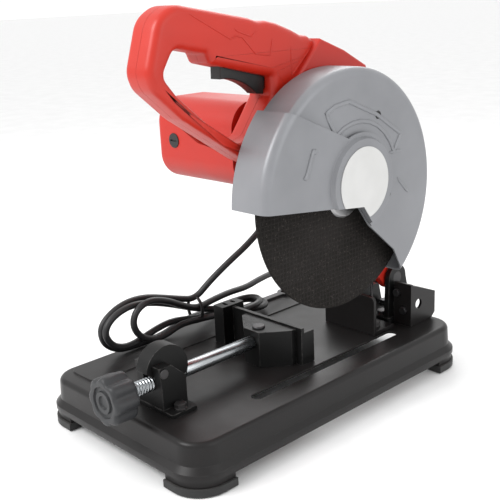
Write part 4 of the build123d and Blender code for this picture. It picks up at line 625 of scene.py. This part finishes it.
# %% Helpers: outlines with rounded corners, and flat curves with a rounded edge


def rounded_outline(corners, steps=7):
    """A closed outline from (y, z, radius) corners: each corner becomes an arc of that radius."""
    outline = []
    count = len(corners)
    for index, (y, z, radius) in enumerate(corners):
        corner = Vector((y, z))
        before = Vector(corners[index - 1][:2]) - corner
        after = Vector(corners[(index + 1) % count][:2]) - corner
        half = before.angle(after) / 2
        reach = min(radius / math.tan(half), 0.48 * before.length, 0.48 * after.length)
        start = corner + before.normalized() * reach
        end = corner + after.normalized() * reach
        for step in range(steps + 1):
            share = step / steps
            outline.append((1 - share) ** 2 * start + 2 * share * (1 - share) * corner + share ** 2 * end)
    return outline


def side_view_solid(name, loops, left, right, edge, edge_steps=5):
    """A solid whose side view, seen along X, is the loops. edge is the round of its outer edges."""
    view = bpy.data.curves.new(name, "CURVE")
    view.dimensions = "2D"
    view.fill_mode = "BOTH"
    view.extrude = (right - left) / 2 - edge
    view.bevel_depth = edge
    view.bevel_resolution = edge_steps
    view.offset = -edge
    for loop in loops:
        spline = view.splines.new("POLY")
        spline.points.add(len(loop) - 1)
        for point, (y, z) in zip(spline.points, loop):
            point.co = (y, z, 0.0, 1.0)
        spline.use_cyclic_u = True
    holder = bpy.data.objects.new(name, view)
    mesh = bpy.data.meshes.new_from_object(holder)
    bpy.data.objects.remove(holder)
    bpy.data.curves.remove(view)
    sideways = Matrix(((0, 0, 1, (left + right) / 2), (1, 0, 0, 0), (0, 1, 0, 0), (0, 0, 0, 1)))
    mesh.transform(sideways)
    shape = bmesh.new()
    shape.from_mesh(mesh)
    bmesh.ops.remove_doubles(shape, verts=shape.verts, dist=0.00002)
    bmesh.ops.recalc_face_normals(shape, faces=shape.faces)
    shape.to_mesh(mesh)
    shape.free()
    return mesh


def keep_side(mesh, x, keep_right):
    """A copy of the mesh cut at a plane across X and closed there."""
    shape = bmesh.new()
    shape.from_mesh(mesh)
    parts = shape.verts[:] + shape.edges[:] + shape.faces[:]
    cut = bmesh.ops.bisect_plane(shape, geom=parts, plane_co=(x, 0, 0), plane_no=(1, 0, 0),
                                 clear_inner=keep_right, clear_outer=not keep_right)
    rim = [part for part in cut["geom_cut"] if isinstance(part, bmesh.types.BMEdge)]
    bmesh.ops.triangle_fill(shape, edges=rim, use_beauty=True)
    bmesh.ops.recalc_face_normals(shape, faces=shape.faces)
    half = bpy.data.meshes.new(mesh.name)
    shape.to_mesh(half)
    shape.free()
    return half


def settle(piece):
    """Apply every modifier of a piece that was made here."""
    bpy.context.view_layer.update()
    graph = bpy.context.evaluated_depsgraph_get()
    finished = bpy.data.meshes.new_from_object(piece.evaluated_get(graph))
    piece.modifiers.clear()
    old = piece.data
    piece.data = finished
    finished.name = piece.name
    bpy.data.meshes.remove(old)


def carve(piece, cutter):
    """Take the cutter out of the piece, and apply it, so no modifier is left."""
    cut = piece.modifiers.new("carve", "BOOLEAN")
    cut.operation = "DIFFERENCE"
    cut.solver = "EXACT"
    cut.object = cutter
    settle(piece)
    bpy.data.objects.remove(cutter)


def finish_piece(piece, finish, body, slot, *nodes, facet=FACET):
    """Smooth shading with crisp creases, the finish, the body it rides on and what it stands for."""
    piece.data.shade_smooth()
    piece.data.set_sharp_from_angle(angle=facet)
    piece.data.materials.clear()
    piece.data.materials.append(finish)
    if nodes:
        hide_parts(*nodes)
    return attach(piece, body)


# %% The side view of the handle
def metres(*corners):
    """(y, z, radius) corners from millimetres."""
    return [tuple(value / 1000 for value in corner) for corner in corners]


handle_outside = rounded_outline(metres(
    (-131, 404, 26), (-150, 393, 26), (-164, 350, 22), (-159, 336, 22), (-128, 309, 40), (-56, 262, 60),
    (-20, 245, 8), (-11, 241, 1), (-11, 298, 1), (-1, 317, 1), (42, 359, 1), (36, 364, 4),
    (27, 369.5, 7), (18, 370.5, 8), (6, 376, 10), (-14, 383, 9), (-26, 385.5, 9), (-36, 385.5, 8),
    (-48, 389, 12), (-95, 397.5, 60),
))
handle_grip = rounded_outline(metres(
    (-133, 369, 11), (-99, 362, 5), (-95, 353, 5), (-24, 336, 3), (-24, 318, 6), (-50, 284, 12),
    (-66, 280, 12), (-84, 288, 16), (-133, 330, 26), (-147, 347, 10),
))
HANDLE_LEFT, HANDLE_JOINT = (corner[0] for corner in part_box("handle_left"))
HANDLE_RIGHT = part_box("handle_right")[1][0]
print("handle from x", round(HANDLE_LEFT, 4), "to", round(HANDLE_RIGHT, 4), "joint",
      round(HANDLE_JOINT, 4))

# %% Cutters for the handle
TRIGGER_PLAY = 0.0005           # beside the trigger in its well
WELL_LOW = (-0.079, 0.325)      # (y, z) of the well's front lower edge
WELL_HIGH = (-0.0205, 0.364)
RECESS_RADIUS = 0.0036
RECESS_DEPTH = 0.002
CUT_OVER = 0.001                # how far a cutter stands out of what it cuts
HANDLE_SCREWS = ((-0.141, 0.385), (-0.060, 0.376), (0.005, 0.362), (-0.146, 0.333), (-0.040, 0.268))


def trigger_well():
    """A plain block, used only to cut the well of the trigger."""
    trigger_low, trigger_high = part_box("trigger")
    low = Vector((trigger_low[0] - TRIGGER_PLAY, *WELL_LOW))
    high = Vector((trigger_high[0] + TRIGGER_PLAY, *WELL_HIGH))
    shape = bmesh.new()
    bmesh.ops.create_cube(shape, size=1.0)
    mesh = bpy.data.meshes.new("trigger_well")
    shape.to_mesh(mesh)
    shape.free()
    mesh.transform(Matrix.Translation((low + high) / 2) @ Matrix.Diagonal((*(high - low), 1.0)))
    return new_piece("trigger_well", mesh)


def screw_recess(y, z):
    """A short drum, used only to cut the recess of one screw."""
    middle = Matrix.Translation((HANDLE_LEFT + (RECESS_DEPTH - CUT_OVER) / 2, y, z))
    shape = bmesh.new()
    bmesh.ops.create_cone(shape, cap_ends=True, segments=24, radius1=RECESS_RADIUS,
                          radius2=RECESS_RADIUS, depth=RECESS_DEPTH + CUT_OVER,
                          matrix=middle @ Matrix.Rotation(math.pi / 2, 4, "Y"))
    mesh = bpy.data.meshes.new("screw_recess")
    shape.to_mesh(mesh)
    shape.free()
    return new_piece("screw_recess", mesh)


# %% The two shells
HANDLE_ROUND = 0.0075
SEAM = 0.00015                  # half of the gap between the shells

whole_handle = side_view_solid("handle", [handle_outside, handle_grip], HANDLE_LEFT, HANDLE_RIGHT,
                               HANDLE_ROUND)
left_shell = new_piece("handle_shell_left", keep_side(whole_handle, HANDLE_JOINT - SEAM, False))
right_shell = new_piece("handle_shell_right", keep_side(whole_handle, HANDLE_JOINT + SEAM, True))
bpy.data.meshes.remove(whole_handle)
for shell in (left_shell, right_shell):
    carve(shell, trigger_well())
for y, z in HANDLE_SCREWS:
    carve(left_shell, screw_recess(y, z))
even = left_shell.modifiers.new("even_shading", "WEIGHTED_NORMAL")
even.keep_sharp = True
finish_piece(left_shell, red_handle, "arm", "handle_red", "handle_left")
finish_piece(right_shell, red_handle, "arm", "handle_red", "handle_right")
print("handle shells", len(left_shell.data.vertices), "and", len(right_shell.data.vertices), "vertices")

# %% [markdown]
# The side of the handle carries thin raised lines that the mould leaves: a long one that starts
# at the top of the grip, a small angular frame above the trigger and one more near the joint. Each
# is a fine bead that follows a path on the flat side, half sunk in it.

# %% Raised lines on the side of the handle
LINE_RADIUS = 0.0006
BEAD_STEP = 0.004               # distance between the rings of a bead
BEAD_TIP = 0.4                  # radius of an open end, against the rest


def raised_line(name, corners, x, radius, finish, body, slot, closed=False, squash=0.5):
    """A thin bead along (y, z) corners on a side face at x."""
    path = [Vector((x, y / 1000, z / 1000)) for y, z in corners]
    fine = []
    for start, end in zip(path, path[1:] + ([path[0]] if closed else [])):
        steps = max(2, round((end - start).length / BEAD_STEP))
        fine += [start.lerp(end, step / steps) for step in range(steps)]
    if not closed:
        fine.append(path[-1])
    radii = [radius] * len(fine)
    if not closed:
        radii[0] = radii[-1] = radius * BEAD_TIP
    bead = tube_along(name, fine, radii, sides=10, closed=closed)
    on_face = Matrix.Translation((x, 0, 0))
    flatten = on_face @ Matrix.Diagonal((squash, 1, 1, 1)) @ on_face.inverted()
    bead.data.transform(flatten)
    return finish_piece(bead, finish, body, slot, facet=math.radians(60))


handle_lines = {
    "handle_line_long": ((-117, 395), (-73.5, 372.3), (-67, 374.6), (-59.3, 372.8), (-43.9, 357.4),
                         (-26, 355.3), (-22.5, 370)),
    "handle_line_frame": ((-68.1, 381), (-65.5, 378.6), (-48.9, 372.8), (-43.5, 376.5)),
    "handle_line_rear": ((1.2, 361.1), (1.1, 335), (27, 357.5)),
}
for name, corners in handle_lines.items():
    raised_line(name, corners, HANDLE_RIGHT, LINE_RADIUS, red_handle, "arm", "handle_red", squash=0.9)
print("raised lines", len(handle_lines))

# %% [markdown]
# ## The knob and the screw of the vise
# Both are turned about the same axis, so one small lathe makes them: a profile of radius against
# distance along the axis goes round in many steps. The knob pulls its radius in at eight
# scallops for the fingers. The screw's front half has a real helical thread, cut by letting the
# radius follow the phase of the helix, and the rest is a bright smooth rod that slides in the nut.

# %% A lathe along Y
screw_low, screw_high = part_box("vise_screw")
SCREW_AXIS = ((screw_low[0] + screw_high[0]) / 2, (screw_low[2] + screw_high[2]) / 2)
print("screw axis at x, z", [round(value, 4) for value in SCREW_AXIS])


def turned(name, profile, axis, around, reshape=None):
    """A solid turned about an axis along Y. reshape(radius, y, turn) can change each radius."""
    shape = bmesh.new()
    rings = []
    for radius, y in profile:
        if radius == 0:
            rings.append([shape.verts.new((axis[0], y, axis[1]))])
            continue
        ring = []
        for step in range(around):
            turn = 2 * math.pi * step / around
            reached = reshape(radius, y, turn) if reshape else radius
            ring.append(shape.verts.new((axis[0] + reached * math.cos(turn), y,
                                         axis[1] + reached * math.sin(turn))))
        rings.append(ring)
    for ring, following in zip(rings, rings[1:]):
        for step in range(around):
            beside = (step + 1) % around
            if len(ring) == 1:
                shape.faces.new((ring[0], following[beside], following[step]))
            elif len(following) == 1:
                shape.faces.new((ring[step], ring[beside], following[0]))
            else:
                shape.faces.new((ring[step], ring[beside], following[beside], following[step]))
    bmesh.ops.recalc_face_normals(shape, faces=shape.faces)
    mesh = bpy.data.meshes.new(name)
    shape.to_mesh(mesh)
    shape.free()
    return new_piece(name, mesh)


# %% The knob
KNOB_LOBES = 8
SCALLOP = 0.0034
knob_low, knob_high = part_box("vise_knob")
KNOB_FRONT, KNOB_BACK = knob_low[1], knob_high[1]
KNOB_RADIUS = (knob_high[2] - knob_low[2]) / 2
knob_profile = [
    (0, 0.0022), (0.0058, 0.0022), (0.0066, 0.0006), (0.0100, 0.0004), (0.0108, 0.0024), (0.0142, 0.0024),
    (0.0150, 0.0006), (0.0190, 0.0), (0.0208, 0.0004), (0.0222, 0.0016), (KNOB_RADIUS, 0.0040),
    (KNOB_RADIUS, 0.0100), (KNOB_RADIUS, 0.0200), (0.0224, 0.0236), (0.0212, 0.0252), (0.0190, 0.0258),
    (0.0110, 0.0260), (0.0071, 0.0260), (0.0071, 0.0240), (0, 0.0240),
]


def scalloped(radius, y, turn):
    """The radius of the knob, pulled in between its lobes, more so further from the axis."""
    hollow = (0.5 + 0.5 * math.cos(KNOB_LOBES * turn + math.pi)) ** 1.5
    return radius - SCALLOP * hollow * (radius / KNOB_RADIUS) ** 5


knob = turned("clamp_knob", [(radius, KNOB_FRONT + depth) for radius, depth in knob_profile], SCREW_AXIS, 128,
              scalloped)
finish_piece(knob, knob_plastic, "screw", "knob_plastic", "vise_knob", facet=math.radians(50))
print("knob radius", round(KNOB_RADIUS, 4), "depth", round(KNOB_BACK - KNOB_FRONT, 4))

# %% The threaded rod
THREAD_PITCH = 0.003
THREAD_DEPTH = 0.0010
THREAD_END = -0.128
ROD_RADIUS = 0.00698
ROD_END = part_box("jaw_body")[0][1] - 0.0004
JOURNAL_RADIUS = 0.005
ROD_CHAMFER = 0.0006
JOURNAL_CHAMFER = 0.0005
INTO_KNOB = 0.0015              # how far the rod goes on inside the knob
THREAD_FADE = 0.002             # length over which the thread runs out


def threaded(radius, y, turn):
    """Rod radius with a helical thread as far as THREAD_END."""
    if y > THREAD_END or y < KNOB_BACK - 0.001:
        return radius
    phase = (y / THREAD_PITCH - turn / (2 * math.pi)) % 1.0
    flank = min(1.0, max(0.0, 1.6 * abs(2 * phase - 1) - 0.3))
    fade = min(1.0, (THREAD_END - y) / THREAD_FADE)
    return radius - THREAD_DEPTH * (1 - flank) * fade


STEP = THREAD_PITCH / 12
thread_steps = round((THREAD_END - KNOB_BACK) / STEP)
rod_profile = [(0, KNOB_BACK - INTO_KNOB), (ROD_RADIUS, KNOB_BACK - INTO_KNOB)]
rod_profile += [(ROD_RADIUS, KNOB_BACK + step * STEP) for step in range(thread_steps + 1)]
rod_profile += [(ROD_RADIUS, ROD_END - ROD_CHAMFER), (ROD_RADIUS - ROD_CHAMFER, ROD_END),
                (JOURNAL_RADIUS, ROD_END), (JOURNAL_RADIUS, screw_high[1] - JOURNAL_CHAMFER),
                (JOURNAL_RADIUS - JOURNAL_CHAMFER, screw_high[1]), (0, screw_high[1])]
rod = turned("clamp_screw", rod_profile, SCREW_AXIS, 48, threaded)
finish_piece(rod, bright_chrome, "screw", "screw_chrome", "vise_screw", facet=math.radians(50))
print("threaded rod", len(rod.data.vertices), "vertices, thread", round(THREAD_END - KNOB_BACK, 3), "m long")

# %% [markdown]
# ## Stamped beads on the guard
# The guard is pressed sheet, stiffened by beads that the die raises. On this one they are a hooked
# rib near the front edge, an angular frame above the hub and two short strokes behind it. A bead is
# a half-sunk round line, so the same helper that drew the handle's lines makes them wider.

# %% The beads
COVER_FACE = 0.1035
GUARD_FACE = 0.100
HUB_CENTRE = (41.0, 232.0)
FRAME_RADIUS = 58.0


def round_the_hub(start, end, steps=8):
    """Points on an arc about the hub, from one angle to another."""
    for step in range(steps + 1):
        turn = math.radians(start + (end - start) * step / steps)
        yield HUB_CENTRE[0] + FRAME_RADIUS * math.cos(turn), HUB_CENTRE[1] + FRAME_RADIUS * math.sin(turn)


guard_beads = [
    ("cover_rib", ((-20.6, 270.4), (-25.8, 272.1), (-35.4, 250.6), (-39.0, 249.0)), COVER_FACE, 0.0026,
     "cover"),
    ("guard_frame", ((-4, 302.5), (8, 307.6), (28, 310), (69, 293), (106, 270), *round_the_hub(22, 124)),
     GUARD_FACE, 0.0021, "arm"),
    ("guard_stroke_upper", ((87.8, 253.3), (107, 253.0)), GUARD_FACE, 0.0017, "arm"),
    ("guard_stroke_lower", ((101, 226), (119, 208)), GUARD_FACE, 0.0017, "arm"),
]
for name, corners, x, radius, body in guard_beads:
    raised_line(name, corners, x, radius, guard_paint, body, "guard_silver", closed=name == "guard_frame",
                squash=0.6)
print("beads", len(guard_beads))

# %% [markdown]
# Two small round fittings break the guard's plain face: a black disc above the hub, whose dark colour paints
# the shade inside a hole there, and a screw head behind it. Both are turned on the same lathe as the knob and
# then laid against the face.

# %% The black disc that paints the hole's shade, and the small screw


def face_fitting(name, y, z, profile, finish, slot):
    """A little round fitting on the guard's face, turned about an axis along X."""
    fitting = turned(name, profile, (0.0, 0.0), 32)
    outward = Matrix(((0, 1, 0, GUARD_FACE), (1, 0, 0, y), (0, 0, 1, z), (0, 0, 0, 1)))
    fitting.data.transform(outward)
    fitting.data.flip_normals()
    return finish_piece(fitting, finish, "arm", slot, facet=math.radians(40))


hole_shade_profile = [(0, 0.0001), (0.0026, 0.0001), (0.0031, 0.0007), (0.0036, 0.0007), (0.0040, 0.0),
                (0.0040, -0.001), (0, -0.001)]
screw_profile = [(0, 0.0006), (0.0012, 0.0006), (0.0013, 0.0015), (0.0024, 0.0013), (0.0032, 0.0006),
                 (0.0033, -0.001), (0, -0.001)]
# The black disc's dark colour is painted shade: it stands for the inside of a hole in the guard.
face_fitting("guard_hole_shade_disc", 0.0706, 0.2926, hole_shade_profile, trigger_plastic, "trigger_black")
face_fitting("guard_face_screw", 0.0863, 0.2124, screw_profile, dark_bolt, "bolt_steel")
print("fittings stand out from x", GUARD_FACE)

# %% [markdown]
# ## The wire tie
# A plastic-covered wire goes round the middle of the hank, three turns side by side. It could be a
# plain band, but a wire that spirals along the bundle reads as tied by hand. It is one more smooth
# spline with a thin round section.

# %% The tie round the hank
tie_low, tie_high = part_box("cord_tie")
tie_middle = (Vector(tie_low) + Vector(tie_high)) / 2
TIE_TURNS = 3
TIE_WIRE = 0.0011
TIE_SPREAD = 1.5                # how far the turns spread along the bundle, against the plain band


def tie_route(points_in_turn=12):
    """Turns round the bundle that step along it."""
    half_width = (tie_high[0] - tie_low[0]) / 2 - TIE_WIRE
    half_height = (tie_high[2] - tie_low[2]) / 2 - TIE_WIRE
    spread_along = (tie_high[1] - tie_low[1] - 2 * TIE_WIRE) * TIE_SPREAD
    steps = TIE_TURNS * points_in_turn
    for step in range(steps + 1):
        turn = math.pi / 2 + 2 * math.pi * step / points_in_turn
        along = tie_middle[1] + (step / steps - 0.5) * spread_along
        yield Vector((tie_middle[0] + half_width * math.cos(turn), along,
                      tie_middle[2] + half_height * math.sin(turn)))


tie_path = smooth_path("tie_line", [tuple(point) for point in tie_route()], fineness=4)
tie = tube_along("hank_tie", tie_path, TIE_WIRE, sides=10)
finish_piece(tie, cord_rubber, "base", "cord_black", "cord_tie", facet=math.radians(60))
print("tie turns", TIE_TURNS)

# %% [markdown]
# ## Floor, light and background
# A pale floor and a pale room give the paint something to reflect. A large lamp above the
# front left makes the soft highlights that run along the handle and the guard, a weaker one on
# the right opens the shadows, and a strip behind draws the upper edges.

# %% Floor and world
floor_mesh = bpy.data.meshes.new("studio_floor")
REACH = 30.0
FLOOR_Z = -0.0004               # a hair under the feet
floor_mesh.from_pydata([(-REACH, -REACH, FLOOR_Z), (REACH, -REACH, FLOOR_Z), (REACH, REACH, FLOOR_Z),
                        (-REACH, REACH, FLOOR_Z)], [], [(0, 1, 2, 3)])
floor = new_piece("studio_floor", floor_mesh)
floor_finish, tree, shader = start_finish("pale_floor", Specular_IOR_Level=0.2)
speck = use(tree, fine_texture, Scale=60.0)
tree.links.new(blend_colours(tree, speck.outputs["Mottle"], (0.86, 0.86, 0.86), (0.90, 0.90, 0.90)),
               shader.inputs["Base Color"])
tree.links.new(spread(tree, speck.outputs["Height"], 0.0, 1.0, 0.55, 0.7), shader.inputs["Roughness"])
floor_mesh.materials.append(floor_finish)

room = bpy.data.worlds.new("pale_room")
room.use_nodes = True
room.node_tree.nodes["Background"].inputs["Color"].default_value = (1.0, 1.0, 1.0, 1.0)
room.node_tree.nodes["Background"].inputs["Strength"].default_value = 1.06
bpy.context.scene.world = room
bpy.context.scene.view_settings.view_transform = "Standard"

# %% Lamps
LOOK_AT = Vector((0.0, 0.02, 0.2))


def soft_lamp(name, place, size, power, colour=(1.0, 1.0, 1.0)):
    """A square lamp that faces the saw."""
    lamp = bpy.data.lights.new(name, "AREA")
    lamp.size = size
    lamp.energy = power
    lamp.color = colour
    holder = bpy.data.objects.new(name, lamp)
    holder.location = place
    holder.rotation_euler = (LOOK_AT - Vector(place)).to_track_quat("-Z", "Y").to_euler()
    bpy.context.scene.collection.objects.link(holder)


soft_lamp("key_left", (-0.35, -1.15, 1.25), 0.7, 17.0)
soft_lamp("fill_right", (1.35, 0.25, 0.75), 1.0, 4.0)
soft_lamp("strip_behind", (-0.7, 1.0, 1.1), 0.8, 6.0)
print("three lamps")
